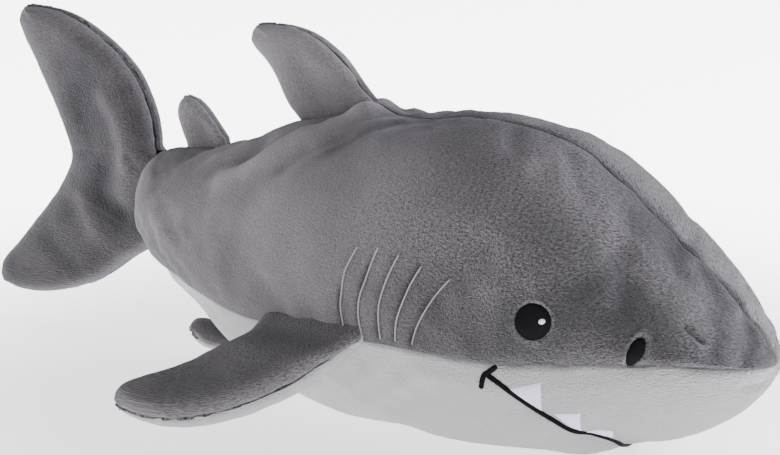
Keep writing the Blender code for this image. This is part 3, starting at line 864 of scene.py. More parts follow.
class Fin:
    """A stuffed fin of two panels, sewn together around its free edge and onto the body.

    Front and back are its outlines from root to tip. Half is half its thickness. Edges are the width and
    roundness of the front edge and of the back one, rounding the shares of its length that narrow to the
    ends, and grow how far each edge lies outside its outline. Root share is its thickness at the root.
    Sewn is the stretch of a front edge that is sewn on, for a fin that has no root row."""

    def __init__(self, plane, front, back, half, edges, rounding, grow, root_share=1.0, sewn=None):
        self.plane, self.half, self.edges, self.rounding = plane, half, edges, rounding
        self.grow, self.root_share, self.sewn = grow, root_share, sewn
        self.front, self.back = np.array(front), np.array(back)

    def flat(self, at, across):
        """Points of the plane at shares from root to tip and from the front edge (-1) to the back (1)."""
        dense = np.linspace(0, 1, 160)
        front, back = spline(self.front, dense), spline(self.back, dense)
        towards = front - back
        front, back = grown(front, towards, self.grow[0]), grown(back, -towards, self.grow[1])
        middle, span = (front + back) / 2, (front - back) / 2
        low, high = self.rounding
        width = np.sqrt(1 - np.clip((dense - (1 - high)) / high, 0, 1) ** 2)
        if low:
            width = width * np.sqrt(1 - np.clip((low - dense) / low, 0, 1) ** 2)
        span = span * width[:, None]
        tip = middle[-1] - middle[-2]
        end = np.exp(-((1 - dense) / 0.05)) * self.grow[1]
        middle = middle + end[:, None] * tip / np.linalg.norm(tip)
        centre, reach = (
            np.stack([np.interp(at, dense, line[:, k]) for k in (0, 1)], -1) for line in (middle, span)
        )
        return centre[:, None] - reach[:, None] * across[None, :, None], centre

    def free_edges(self):
        """The outline without its root, as the pieces of its front edge and of its back edge."""
        flat, _ = self.flat(np.linspace(0, 1, 120), np.array([-1.0, 1.0]))
        front, back = flat[:, 0], flat[:, 1]
        if self.sewn is None:
            return [front], [np.concatenate([back, front[-1:]])]
        low, high = self.sewn
        sewn = (front[:, 1] > low) & (front[:, 1] < high)
        first, last = np.argmax(sewn), len(sewn) - np.argmax(sewn[::-1])
        return [front[:first], front[last:]], [np.concatenate([front[:1], back, front[-1:]])]

    def heights(self, flat):
        """Each point's distance to the free edge, and how far the filling holds it off the plane."""
        depths = [np.min([distance(flat, line) for line in lines], axis=0) for lines in self.free_edges()]
        swells = [
            (1 - (1 - np.clip(depth / width, 0, 1)) ** power) ** (1 / power)
            for depth, (width, power) in zip(depths, self.edges)
        ]
        height = (self.half + FABRIC) * np.minimum(*swells)
        if self.sewn is None:
            flare = smooth_step(flat[..., 1] / ROOT_FLARE)
            height = height * (self.root_share + (1 - self.root_share) * flare)
        return np.minimum(*depths), height

    def grid(self, rows, columns):
        """The fin's flat grid with the middle of each row, its depths and its heights."""
        at = evenly(lambda t: 1 + 1.5 * bump(t, 0.90, 1.1, 0.08), rows)
        if self.sewn is not None:
            even = np.linspace(0, 1, rows)
            at = (1 - np.cos(np.pi * even)) / 2 * 0.6 + 0.4 * even
        turn = np.linspace(-1, 1, columns)
        across = np.sign(turn) * (1 - (1 - np.abs(turn)) ** CROWDING)
        flat, centre = self.flat(at, across)
        depth, height = self.heights(flat)
        return SimpleNamespace(turn=turn, flat=flat, centre=centre, depth=depth, height=height)


def fin_cloth(fin):
    """Blows up a coarse copy of a fin and returns how far each side rises off the plane."""
    rows, columns = FIN_CLOTH
    grid = fin.grid(rows, columns)
    sides = [fin.plane.place(grid.flat, side * grid.height) for side in (1, -1)]
    index = np.arange(rows * columns).reshape(rows, columns)
    other = index + rows * columns
    rim = [0, columns - 1]
    other[:, rim] = index[:, rim]
    other[-1] = index[-1]
    faces = []
    for sheet, flip in ((index, False), (other, True)):
        for i in range(rows - 1):
            for j in range(columns - 1):
                face = (sheet[i, j], sheet[i, j + 1], sheet[i + 1, j + 1], sheet[i + 1, j])
                faces.append(face[::-1] if flip else face)
    pinned = set(index[:, rim].ravel()) | set(index[0]) | set(other[0]) | set(index[-1])
    points = np.concatenate([side.reshape(-1, 3) for side in sides])
    move = inflate(points, outside_out(points, faces), pinned, FIN_PRESSURE, FIN_SPARE)
    off = (move @ np.array(fin.plane.side)).reshape(2, rows, columns)
    off = off * np.array([1, -1])[:, None, None]
    off[:, :, rim] = 0
    return capped(off, FIN_PUFF_CAP)


def fin_points(fin, side, grid, puff, marks, seed):
    """A fin panel's points in space, with its seam, puckers, dents and lumps."""
    depth, rise = grid.depth, grid.height.copy()
    if puff is not None:
        share = np.broadcast_to(grid.turn / 2 + 0.5, rise.shape)
        row = np.broadcast_to(np.linspace(0, 1, len(rise))[:, None], rise.shape)
        rise += sampled(puff[..., None], row, share)[..., 0]
    spot = np.concatenate([grid.flat, np.full(depth.shape + (1,), side * 0.1)], -1)
    body = smooth_step(depth / 0.006)
    rise += body * DENT * marks
    rise += body * (0.0007 * lumps(spot, 0.020, seed) + 0.0004 * lumps(spot, 0.009, seed + 1))
    pucker = smooth_step(depth / 0.0015) * np.exp(-depth / 0.006)
    rise += 0.00055 * lumps(spot, 0.0055, seed + 2) * pucker
    rise += 0.00013 * lumps(spot, 0.0022, seed + 3) * smooth_step(depth / 0.002)
    pull = FIN_SEAM * min(1.0, fin.half / 0.008) * (0.75 + 0.5 * lumps(spot, 0.0045, seed + 4))
    groove = pull * bell(rise, 0.0016) * bell(depth, 0.004)
    inwards = unit(grid.centre[:, None] - grid.flat)
    return fin.plane.place(grid.flat + inwards * groove[..., None], side * rise)


def sunk(fin, points, grid):
    """Adds rows under the root, which carry on into the body and draw in a little."""
    middle = fin.plane.place(grid.flat[0], 0)
    rows = []
    for share in SINK_SHARES:
        drawn = middle + (points[0] - middle) * (1 - 0.25 * share)
        rows.append((drawn - np.array(fin.plane.outward) * ROOT_SINK * share)[None])
    return np.concatenate([*rows, points])


def sunk_sideways(fin, points, grid):
    """Draws the front edge forwards into the body where the fin is sewn on."""
    root = bump(grid.flat[..., 1], *fin.sewn, 0.008)
    share = root * smooth_step(1 - distance(grid.flat, grid.flat[:, 0]) / 0.012)
    return points + ROOT_SINK * share[..., None] * np.array(fin.plane.forward)


def fin_skin(name, fin, side, grid, puff, material, replaced, pile, seed):
    """One panel of a fin. Pile is its base tone, its grain and the strokes that dent and raise it, with painted
    shade in the dents and painted light on the bulges.
    """
    tone, grain, strokes = pile
    marks = np.zeros(grid.depth.shape)
    for line, width, amount in strokes:
        marks += amount * closeness(grid.flat, np.array(line), width)
    points = fin_points(fin, side, grid, puff, marks, seed)
    run, out = run_length(points, 1), grid.flat[..., 1]
    # Painted light along the rounded free edges, painted light and shade on the strokes, and painted shade in
    # the crease where the two panels meet
    values = {
        "nap_and_shade": tone + 0.24 * bell(grid.depth, 0.0035) + 0.55 * marks,
        "crease_shade": 0.08 * bell(grid.height, 0.0006),
        "grain": np.full(grid.depth.shape, grain),
    }
    if fin.sewn is None:
        extra = len(SINK_SHARES)
        points = sunk(fin, points, grid)
        values = {label: np.concatenate([part[:1]] * extra + [part]) for label, part in values.items()}
        uv = np.stack([out, run], -1)
        uv = np.concatenate([*(uv[:1] - (ROOT_SINK * share, 0) for share in SINK_SHARES), uv])
    else:
        points = sunk_sideways(fin, points, grid)
        uv = np.stack([run, out], -1)
    inside = fin.plane.place(grid.flat, 0).reshape(-1, 3).mean(0)
    obj = add_grid(name, points, inside, material, uv, values)
    weld(obj)
    thicken(obj)
    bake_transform(obj)
    stands_for(replaced)


def fin_stuffing(name, fin, replaced):
    """A fin's own filling, under both of its panels."""
    rows, columns = STUFFING_GRID
    grid = fin.grid(rows, columns)
    flat = grid.centre[:, None] + (grid.flat - grid.centre[:, None]) * STUFFING_SHARE
    _, height = fin.heights(flat)
    inner = slice(1, -1)
    flat, thick = flat[inner, inner], np.maximum(height - FILLING_DEPTH, 0.0004)[inner, inner]
    rows, columns = thick.shape
    if fin.sewn is None:
        thick = thick * smooth_step(0.45 + np.linspace(0, 4, rows))[:, None]
    sheets = [fin.plane.place(flat, side * thick) for side in (1, -1)]
    index = np.arange(rows * columns).reshape(rows, columns)
    top = grid_faces(rows, columns).tolist()
    bottom = [[index.size + i for i in reversed(face)] for face in top]
    rim = [*index[0], *index[1:, -1], *index[-1, -2::-1], *index[-2:0:-1, 0]]
    walls = [[a + index.size, b + index.size, b, a] for a, b in zip(rim, rim[1:] + rim[:1])]
    points = np.concatenate([sheet.reshape(-1, 3) for sheet in sheets])
    obj = add_mesh(name, points, outside_out(points, top + bottom + walls), FIBRE_FILLING)
    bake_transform(obj)
    stands_for(replaced)


def make_fin(name, fin, looks, joint, pile, rows, columns, seed):
    """A fin's two skins and its filling. Looks are the label and fabric of the two sides of its plane."""
    puff = fin_cloth(fin)
    grid = fin.grid(rows, columns)
    for (label, material), side, blown in zip(looks, (1, -1), puff):
        piece, replaced = f"{name}_{label}_skin", f"{name}_{label}_panel"
        seeds = seed + (0 if side > 0 else 20)
        fin_skin(piece, fin, side, grid, blown, material, replaced, pile, seeds)
    fin_stuffing(f"{name}_stuffing", fin, f"{name}_filling")


def bend_zone(body, hinge, outward, before, after):
    """The body's name and two points on the fin's outward line, from under the hinge to past it."""
    hinge, outward = np.array(hinge), np.array(outward)
    return body, tuple(hinge - outward * before), tuple(hinge + outward * after)


BOTH_GREY = (("left", GREY_PLUSH), ("right", GREY_PLUSH))
ROOT_CLEARANCE = 0.0028
SIDE_ROOT_CLEARANCE = 0.0036
ROOT_BEND = (0.004, 0.010)
TAIL_BEND = (0.004, 0.012)


def upright_fin(name, root, front, back, half, edges, grow, pile, *mesh):
    """A fin on the back. Its root runs from one x to another, just over the seam along the back."""
    ends = section(body_u(np.array(root)), 90.0)
    ends[:, 2] += ROOT_CLEARANCE
    plane = FinPlane(ends[0], ends[1] - ends[0], (0, 0, 1))
    length = np.linalg.norm(ends[1] - ends[0])
    fin = Fin(plane, [(length, 0), *front], [(0, 0), *back], half, edges, (0, 0.13), grow, 0.8)
    joint = bend_zone(name, ends.mean(0), plane.outward, *ROOT_BEND)
    make_fin(name, fin, BOTH_GREY, joint, pile, *mesh)


def dorsal_fin():
    front = [(0.0348, 0.0088), (0.0292, 0.019), (0.0209, 0.030), (0.0086, 0.0393), (-0.008, 0.0454)]
    back = [(-0.0048, 0.0085), (-0.0074, 0.019), (-0.0114, 0.029), (-0.0166, 0.0368), (-0.0172, 0.0428)]
    strokes = (
        (((0.006, 0.004), (0.018, 0.008), (0.030, 0.006)), 0.009, -0.22),
        (((0.012, 0.012), (0.010, 0.018)), 0.007, -0.14),
        (((-0.004, 0.030), (-0.008, 0.038)), 0.009, 0.10),
    )
    edges = ((0.0085, FRONT_POWER), (0.016, BACK_POWER))
    root, grow, pile = (-0.021, 0.019), (0.0006, 0.0020), (-0.10, 0.7, strokes)
    upright_fin("dorsal_fin", root, front, back, 0.0080, edges, grow, pile, 90, 80, 31)


def rear_dorsal_fin():
    front = [(0.019, 0.008), (0.013, 0.0165), (0.007, 0.0220)]
    back = [(-0.002, 0.008), (-0.002, 0.0155), (0.001, 0.0212)]
    strokes = (
        (((0.002, 0.006), (0.004, 0.014)), 0.004, 0.12),
        (((0.012, 0.002), (0.012, 0.008)), 0.004, -0.10),
    )
    edges = ((0.0055, FRONT_POWER), (0.008, BACK_POWER))
    root, grow, pile = (-0.088, -0.0645), (-0.0004, 0.0004), (-0.03, 0.8, strokes)
    upright_fin("rear_dorsal_fin", root, front, back, 0.0050, edges, grow, pile, 50, 56, 51)


TAIL_ROOT_X = TAIL_END_X - ROOT_CLEARANCE
TAIL_ROOT = (0.057, 0.099)
TAIL_ROOT_MIDDLE = sum(TAIL_ROOT) / 2


def tail_fin():
    """The crescent tail. Its front outline runs from the upper tip down the root seam to the lower."""
    plane = FinPlane((0, 0, 0), (1, 0, 0), (0, 0, 1))
    front = [
        (-0.181, 0.1685),
        (-0.157, 0.1635),
        (-0.135, 0.152),
        (-0.1172, 0.135),
        (TAIL_ROOT_X - 0.0006, 0.114),
        (TAIL_ROOT_X, TAIL_ROOT[1]),
        (TAIL_ROOT_X, TAIL_ROOT_MIDDLE),
        (TAIL_ROOT_X, TAIL_ROOT[0]),
        (-0.1230, 0.0455),
        (-0.1420, 0.0325),
        (-0.1635, 0.0235),
        (-0.185, 0.0192),
        (-0.204, 0.0205),
    ]
    back = [
        (-0.1895, 0.1655),
        (-0.1862, 0.156),
        (-0.179, 0.142),
        (-0.171, 0.127),
        (-0.163, 0.111),
        (-0.158, 0.099),
        (-0.158, 0.091),
        (-0.163, 0.081),
        (-0.172, 0.069),
        (-0.183, 0.057),
        (-0.195, 0.044),
        (-0.205, 0.034),
        (-0.2095, 0.026),
    ]
    strokes = (
        (((-0.1315, 0.1261), (-0.1244, 0.1187), (-0.1212, 0.1080), (-0.1192, 0.0962)), 0.0050, 0.26),
        (((-0.1192, 0.0940), (-0.1184, 0.0862), (-0.1200, 0.0794)), 0.0065, 0.24),
        (((-0.1173, 0.0984), (-0.1156, 0.0936)), 0.0020, -0.20),
        (((-0.1346, 0.0880), (-0.1363, 0.0791), (-0.1330, 0.0732), (-0.1240, 0.0691)), 0.0075, -0.30),
        (((-0.1178, 0.1302), (-0.1108, 0.1220), (-0.1064, 0.1095)), 0.0060, -0.16),
        (((-0.1422, 0.1381), (-0.1404, 0.1243), (-0.1448, 0.1118)), 0.0100, -0.08),
        (((-0.1479, 0.0747), (-0.1445, 0.0668), (-0.1398, 0.0581)), 0.0045, 0.20),
        (((-0.1585, 0.0693), (-0.1576, 0.0621)), 0.0070, -0.06),
        (((-0.1700, 0.0500), (-0.1651, 0.0443), (-0.1588, 0.0399)), 0.0070, -0.12),
        (((-0.1530, 0.0962), (-0.1460, 0.0975), (-0.1400, 0.0995)), 0.0030, -0.12),
        (((-0.1600, 0.1560), (-0.1660, 0.1480)), 0.0100, 0.08),
    )
    edges = ((0.0095, FRONT_POWER), (0.018, BACK_POWER))
    fin = Fin(plane, front, back, 0.0090, edges, (0.06, 0.06), (0.0006, 0.0018), sewn=TAIL_ROOT)
    joint = bend_zone("tail_fin", (TAIL_ROOT_X, 0, TAIL_ROOT_MIDDLE), (-1, 0, 0), *TAIL_BEND)
    make_fin("tail_fin", fin, BOTH_GREY, joint, (-0.39, 0.9, strokes), 150, 84, 71)


SIDE_FIN_ROUNDING = (0, 0.14)
SIDE_FIN_ROOT_SHARE = 0.45


def side_fin(name, side, root, angle, droop, front, back, half, edges, grow, pile, *mesh):
    """A fin of the flank, grey above and pale below. Its angle is that of the belly seam if it is None."""
    u = body_u(np.array(root))
    around = around_of(seam_angle(u) if angle is None else angle, side)
    rear, forward = section(u, around) + SIDE_ROOT_CLEARANCE * body_normal(u, around + 0 * u)
    outward = (0, side * math.cos(math.radians(droop)), -math.sin(math.radians(droop)))
    plane = FinPlane(rear, forward - rear, outward)
    length = np.linalg.norm(forward - rear)
    outlines = ([(length, 0), *front], [(0, 0), *back])
    fin = Fin(plane, *outlines, half, edges, SIDE_FIN_ROUNDING, grow, SIDE_FIN_ROOT_SHARE)
    looks = (("top", GREY_PLUSH), ("bottom", PALE_PLUSH))[::side]
    joint = bend_zone(name, (rear + forward) / 2, plane.outward, *ROOT_BEND)
    make_fin(name, fin, looks, joint, pile, *mesh)


def pectoral_fin(name, side):
    front = [(0.047, 0.0145), (0.0345, 0.031), (0.015, 0.0465), (-0.0105, 0.0572), (-0.0415, 0.0596)]
    back = [(-0.0022, 0.0085), (-0.0103, 0.0195), (-0.0222, 0.0305), (-0.0372, 0.0408), (-0.0488, 0.0505)]
    strokes = (
        (((0.046, 0.003), (0.030, 0.018), (0.012, 0.030)), 0.0090, -0.10),
        (((-0.004, 0.036), (-0.024, 0.045)), 0.0080, -0.10),
        (((-0.036, 0.043), (-0.044, 0.052)), 0.0110, 0.26),
        (((0.004, 0.010), (-0.012, 0.026)), 0.0080, 0.06),
    )
    edges = ((0.0090, FRONT_POWER), (0.012, BACK_POWER))
    root, grow, pile = (0.003, 0.059), (-0.0014, 0.0010), (-0.27, 1.2, strokes)
    side_fin(name, side, root, None, 35, front, back, 0.0085, edges, grow, pile, 100, 80, 91)


def pelvic_fin(name, side):
    front = [(0.0175, 0.0065), (0.0120, 0.0115), (0.0045, 0.0140)]
    back = [(-0.0035, 0.0030), (-0.0050, 0.0075), (-0.0030, 0.0120)]
    edges = ((0.0050, FRONT_POWER), (0.008, BACK_POWER))
    root, pile = (-0.056, -0.034), (-0.14, 0.8, ())
    side_fin(name, side, root, -66.0, 24, front, back, 0.0045, edges, (0, 0), pile, 44, 48, 111)


# ---- embroidery ----

GILLS = (
    ((0.0520, 24), (0.0480, 17.5), (0.0460, 11), (0.0455, 5), (0.0485, -0.6)),
    ((0.0620, 25), (0.0585, 18), (0.0560, 11.5), (0.0550, 5.5), (0.0575, 0)),
    ((0.0720, 24), (0.0685, 17.5), (0.0660, 11.5), (0.0650, 6), (0.0662, 0.4)),
    ((0.0830, 22), (0.0790, 16), (0.0760, 10.5), (0.0740, 5.5), (0.0735, 0.8)),
    ((0.0960, 20), (0.0905, 15), (0.0865, 10), (0.0830, 5.5), (0.0813, 1)),
)
MOUTH_HALF = (
    (0.1148, -2.9),
    (0.1245, -7.9),
    (0.1362, -17.1),
    (0.1432, -24.4),
    (0.1495, -34),
    (0.1558, -44),
    (0.1575, -60),
)
CHIN = (0.1520, 270)
MOUTH_CORNER = ((0.1190, -0.2), (0.1150, -2.5), (0.1135, -4.2), (0.1127, -8.4))
TEETH = (
    ((0.1250, -7.0), (0.1371, -3.7), (0.1368, -16.6)),
    ((0.1413, -17.5), (0.1513, -17.0), (0.1497, -31.5)),
    ((0.1509, -34.5), (0.1613, -33.7), (0.1590, -46.5)),
)
TOOTH_SIDE_POINTS = 14
HALF_WIDTH_AT_EYE = 0.075

# Widths and heights of the stitched lines, and the length of one stitch
MOUTH_STITCH = (0.0024, 0.0011, 0.00085)
CORNER_STITCH = (0.0025, 0.0012, 0.00085)
GILL_STITCH = (0.00065, 0.0005, 0.0016)
MOUTH_LIFT, GILL_LIFT = -0.0002, 0.0002
ROWS_PER_STITCH = 4
# The arc of a stitched line's cross-section, and the number of points on it
STITCH_ARC = (-30, 210, 11)
# How a stitch's half width and height follow its bulge, and how much its width varies
WIDTH_BASE, WIDTH_BULGE, WIDTH_UNEVEN = 0.90, 0.08, 0.07
HEIGHT_BASE, HEIGHT_BULGE = 0.72, 0.28

# How far each patch's stitches dome, how far its edge lies over the skin and which way they run
EYE_SATIN = (0.0011, -0.0004, 84)
HIGHLIGHT_SATIN = (0.0005, 0.0006, 40)
NOSTRIL_SATIN = (0.0009, -0.0004, 72)
TOOTH_SATIN = (0.0007, 0.0001, 88)
DOME_POWER = 2.6
SATIN_PITCH, SATIN_RELIEF = 0.0009, 0.00006
SATIN_LUMP_SIZE, SATIN_LUMPS = 0.0006, 0.00005
RAGGED_SIZE, RAGGED = 0.10, 0.010
SKIRT_DEPTH = 0.0012


def mouth_places():
    """Places (x, angle around) from the right cheek under the chin to the left one."""
    right = [(x, belly_around(angle, -1)) for x, angle in MOUTH_HALF]
    left = [(x, belly_around(angle, 1)) for x, angle in reversed(MOUTH_HALF)]
    return right + [CHIN] + left


def embroidered(obj, replaced):
    """Closes an embroidered piece and fixes it to the body."""
    weld(obj)
    cap_ends(obj)
    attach(obj, "body")
    stands_for(replaced)


def stitched_line(name, panel, places, stitches, lift, material, replaced):
    """A raised line of satin stitches: bars of thread side by side, a little uneven, along a curve."""
    width, height, pitch = stitches
    rough = spline(places, np.linspace(0, 1, 200))
    length = run_length(section(body_u(rough[:, 0]), rough[:, 1]), 0)[-1]
    steps = max(12, int(length / pitch) * ROWS_PER_STITCH)
    path = spline(places, np.linspace(0, 1, steps + 1))
    u = body_u(path[:, 0])
    base, normal = form(panel, u, path[:, 1], lift), body_normal(u, path[:, 1])
    across = np.cross(unit(np.gradient(base, axis=0)), normal)
    run = run_length(base, 0)
    stitch = np.abs(np.sin(np.pi * run / pitch))
    number = np.floor(run / pitch)
    uneven = lumps(np.stack([number * 3.7, number * 0, number * 0], 1), 1.0, 9)
    from_end = np.clip(1 - np.minimum(run, length - run) / (width / 2), 0, 1)
    end = np.sqrt(np.clip(1 - from_end**2, 0.02, 1))
    half = width / 2 * (WIDTH_BASE + WIDTH_BULGE * stitch + WIDTH_UNEVEN * uneven) * end
    rise = height * (HEIGHT_BASE + HEIGHT_BULGE * stitch) * end
    turn = np.radians(np.linspace(*STITCH_ARC))
    ring = base[:, None] + (half[:, None] * np.cos(turn))[..., None] * across[:, None]
    ring = ring + (rise[:, None] * np.sin(turn))[..., None] * normal[:, None]
    ring = np.concatenate([ring, ring[:, :1]], axis=1)
    shares = np.linspace(-1, 1, ring.shape[1])
    uv = np.stack(np.broadcast_arrays(half[:, None] * shares, run[:, None]), -1)
    inside = (base - INSIDE_DEPTH * normal).mean(0)
    embroidered(add_grid(name, ring, inside, material, uv), replaced)


def slopes_at(place):
    """How the surface runs on with u and with the angle, and its directions forwards and upwards."""
    u, around = body_u(place[0]), place[1]
    step = 0.002
    along = (section(u + step, around) - section(u - step, around)) / (2 * step)
    across = section(u, around + 0.5) - section(u, around - 0.5)
    forward = unit(along)
    up = across - forward * (across @ forward)
    up *= math.copysign(1 / np.linalg.norm(up), up[2])
    return along, across, forward, up


def drawn_at(panel, place, drawing, lift):
    """Points of a drawing, in metres forwards and upwards, laid on the stuffed skin around a place."""
    along, across, forward, up = slopes_at(place)
    moves = drawing @ np.array([forward, up])
    du, turn = np.linalg.lstsq(np.stack([along, across], 1), moves.T, rcond=None)[0]
    return form(panel, body_u(place[0]) + du, place[1] + turn, lift)


def satin_patch(name, panel, place, outline, stitches, material, replaced, rings=16):
    """A raised patch of satin stitch with a star-shaped outline, its edge ragged by the stitches' ends."""
    dome, lift, thread_angle = stitches
    count = len(outline)
    size = np.linalg.norm(outline, axis=1).max()
    ragged = lumps(np.column_stack([outline, np.zeros(count)]) / size, RAGGED_SIZE, 5)
    outline = outline * (1 + RAGGED * ragged)[:, None]
    share = np.sin(np.linspace(0, np.pi / 2, rings))
    flat = outline[None] * share[:, None, None]
    under, over = turned(flat[..., 0], flat[..., 1], thread_angle)
    full = np.sqrt(1 - np.clip(share, 0, 1) ** DOME_POWER)[:, None]
    height = full * (dome + SATIN_RELIEF * np.sin(2 * np.pi * over / SATIN_PITCH))
    uneven = lumps(np.stack([under / 4, over, 0 * over], -1), SATIN_LUMP_SIZE, 4)
    height = height + SATIN_LUMPS * uneven
    top = drawn_at(panel, place, flat.reshape(-1, 2), (lift + height).ravel())
    skirt = drawn_at(panel, place, flat[-1], np.full(count, lift - SKIRT_DEPTH))
    points = np.concatenate([top, skirt]).reshape(rings + 1, count, 3)
    uv = np.stack([under, over], -1)
    uv = np.concatenate([uv, uv[-1:]])
    points, uv = (np.concatenate([grid, grid[:, :1]], 1) for grid in (points, uv))
    u, around = body_u(place[0]), np.asarray(place[1])
    inside = section(u, around) - INSIDE_DEPTH * body_normal(u, around)
    embroidered(add_grid(name, points, inside, material, uv), replaced)


def ellipse(size, tilt, count):
    """An ellipse's outline. Tilt turns its long axis up from forwards."""
    turn = np.arange(count) * 2 * np.pi / count
    return np.stack(turned(size[0] / 2 * np.cos(turn), size[1] / 2 * np.sin(turn), -tilt), 1)


def eyes_and_nostrils():
    eye, shine = ellipse((EYE_SIZE, EYE_SIZE), 0, 72), ellipse(HIGHLIGHT_SIZE, 30, 24)
    nostril = ellipse(NOSTRIL_SIZE, NOSTRIL_TILT, 56)
    forward, up = HIGHLIGHT_OFFSET
    for name, side in SIDES:
        panel = f"{name}_back_skin"
        at_eye, at_nostril = ((x, around_of(angle, side)) for x, angle in (EYE, NOSTRIL))
        at_shine = (at_eye[0] + forward, at_eye[1] + side * math.degrees(up / HALF_WIDTH_AT_EYE))
        for piece, replaced, place, outline, stitches, material, rings in (
            ("eye_patch", "eye", at_eye, eye, EYE_SATIN, BLACK_THREAD, 16),
            ("eye_shine", "eye_highlight", at_shine, shine, HIGHLIGHT_SATIN, WHITE_THREAD, 8),
            ("nostril_patch", "nostril", at_nostril, nostril, NOSTRIL_SATIN, BLACK_THREAD, 16),
        ):
            piece, replaced = f"{name}_{piece}", f"{name}_{replaced}"
            satin_patch(piece, panel, place, outline, stitches, material, replaced, rings)


def mouth():
    lines = [("mouth_stitches", "mouth_line", mouth_places(), MOUTH_STITCH)]
    for name, side in SIDES:
        places = [(x, belly_around(angle, side)) for x, angle in MOUTH_CORNER]
        lines.append((f"{name}_mouth_corner_stitches", f"{name}_mouth_corner", places, CORNER_STITCH))
    for piece, replaced, places, stitches in lines:
        stitched_line(piece, "belly_skin", places, stitches, MOUTH_LIFT, BLACK_THREAD, replaced)


def tooth_outline(corners, place, side):
    """A tooth's outline in metres around a place, from three corners, each an x and an angle."""
    _, _, forward, up = slopes_at(place)
    middle = section(body_u(place[0]), place[1])
    away = [section(body_u(x), belly_around(angle, side)) - middle for x, angle in corners]
    flat = [np.array((step @ forward, step @ up)) for step in away]
    shares = np.arange(TOOTH_SIDE_POINTS) / TOOTH_SIDE_POINTS
    return np.array([a + (b - a) * share for a, b in zip(flat, flat[1:] + flat[:1]) for share in shares])


def teeth():
    for number, corners in enumerate(TEETH, 1):
        x, angle = np.mean(corners, axis=0)
        for name, side in SIDES:
            place = (x, belly_around(angle, side))
            outline = tooth_outline(corners, place, side)
            piece, replaced = f"{name}_tooth_patch_{number}", f"{name}_tooth_{number}"
            satin_patch(piece, "belly_skin", place, outline, TOOTH_SATIN, WHITE_THREAD, replaced)


def gills():
    for number, line in enumerate(GILLS, 1):
        for name, side in SIDES:
            places = [(x, around_of(angle, side)) for x, angle in line]
            piece, replaced = f"{name}_gill_thread_{number}", f"{name}_gill_{number}"
            panel = f"{name}_back_skin"
            stitched_line(piece, panel, places, GILL_STITCH, GILL_LIFT, SILVER_THREAD, replaced)


# ---- the stage ----

FLOOR_REACH = 12.0
FLOOR_COUNT = 9
FLOOR_HEIGHT = -0.0002
# The floor glows as a lamp, more the further it is from the shark, which leaves a painted shadow round the
# shark: two distances and the glow at each
FLOOR_GLOW = {"From Min": 0.08, "From Max": 0.50, "To Min": 1.5, "To Max": 6.0}
SKY = 0.30
# Each light's place, the point it looks at, its size, power and colour
LIGHTS = {
    "overhead": ((-0.10, 0.20, 1.3), (0, 0, 0.05), (1.2, 1.0), 5, (1, 0.98, 0.98)),
    "front_left": ((-1.0, -0.9, 0.8), (-0.05, 0, 0.08), (0.9, 0.7), 4.5, (1, 0.97, 0.96)),
    "far_right": ((0.9, 1.2, 0.5), (0.1, 0.03, 0.08), (0.8, 0.8), 42, (0.93, 0.95, 1)),
}
CAMERA_AZIMUTH, CAMERA_ELEVATION = 30, 14
CAMERA_TARGET = (0.0252, 0, 0.0782)
CAMERA_REACH = 0.850
CAMERA_LENS, CAMERA_SENSOR = 85.15, 36


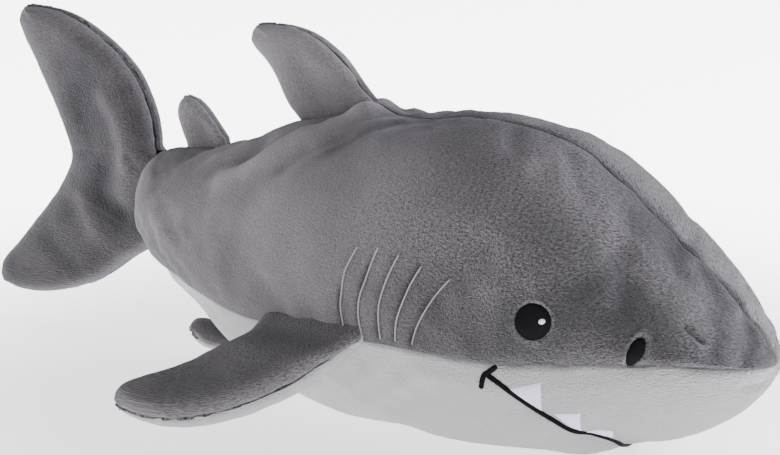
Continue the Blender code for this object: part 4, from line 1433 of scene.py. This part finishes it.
def floor():
    """A pale sheet that the shark lies on. It glows as a lamp, dim near the shark as a painted shadow and
    bright further out.
    """
    line = np.linspace(-FLOOR_REACH, FLOOR_REACH, FLOOR_COUNT)
    grid = np.stack(np.meshgrid(line, line, [FLOOR_HEIGHT], indexing="ij"), -1)[:, :, 0]
    material, tree, shader = new_material("glowing_floor", Roughness=0.9)
    shader.inputs["Base Color"].default_value = (0.92, 0.92, 0.925, 1)
    # Painted light: the floor gives off light, and its dimmer glow near the shark is a painted shadow
    shader.inputs["Emission Color"].default_value = (1, 1, 1, 1)
    place = node(tree, "ShaderNodeTexCoord").outputs["Object"]
    away = node(tree, "ShaderNodeVectorMath", operation="LENGTH")
    tree.links.new(place, away.inputs[0])
    ramp = node(tree, "ShaderNodeMapRange", interpolation_type="SMOOTHERSTEP")
    for label, value in FLOOR_GLOW.items():
        ramp.inputs[label].default_value = value
    tree.links.new(away.outputs["Value"], ramp.inputs["Value"])
    tree.links.new(ramp.outputs[0], shader.inputs["Emission Strength"])
    add_grid("floor", grid, (0, 0, -1), material)


def aimed(name, data, place, direction):
    """Puts a light or a camera at a place, looking in a direction."""
    obj = bpy.data.objects.new(name, data)
    obj.location = place
    obj.rotation_mode = "QUATERNION"
    obj.rotation_quaternion = Vector(direction).to_track_quat("-Z", "Y")
    bpy.context.scene.collection.objects.link(obj)
    return obj


def studio():
    world = bpy.data.worlds.new("studio")
    world.use_nodes = True
    background = world.node_tree.nodes["Background"]
    background.inputs["Color"].default_value = (0.96, 0.97, 1.0, 1)
    background.inputs["Strength"].default_value = SKY
    bpy.context.scene.world = world
    for name, (place, target, size, power, colour) in LIGHTS.items():
        light = bpy.data.lights.new(name, "AREA")
        light.shape = "RECTANGLE"
        light.size, light.size_y = size
        light.energy = power
        light.color = colour
        aimed(name, light, place, Vector(target) - Vector(place))


def camera():
    azimuth, elevation = math.radians(CAMERA_AZIMUTH), math.radians(CAMERA_ELEVATION)
    across = math.cos(elevation)
    back = Vector((math.sin(azimuth) * across, -math.cos(azimuth) * across, math.sin(elevation)))
    data = bpy.data.cameras.new("camera")
    data.sensor_width = CAMERA_SENSOR
    data.lens = CAMERA_LENS
    bpy.context.scene.camera = aimed("camera", data, Vector(CAMERA_TARGET) + back * CAMERA_REACH, -back)


def main():
    camera()
    studio()
    floor()
    body_puff()
    for name in BACKS:
        body_skin(name, BACK_COLUMNS, GREY_PLUSH, name.replace("skin", "panel"))
    body_skin("belly_skin", BELLY_COLUMNS, PALE_PLUSH, "belly_panel")
    body_stuffing()
    dorsal_fin()
    rear_dorsal_fin()
    tail_fin()
    for name, side in SIDES:
        pectoral_fin(f"{name}_pectoral_fin", side)
        pelvic_fin(f"{name}_pelvic_fin", side)
    eyes_and_nostrils()
    mouth()
    teeth()
    gills()


main()
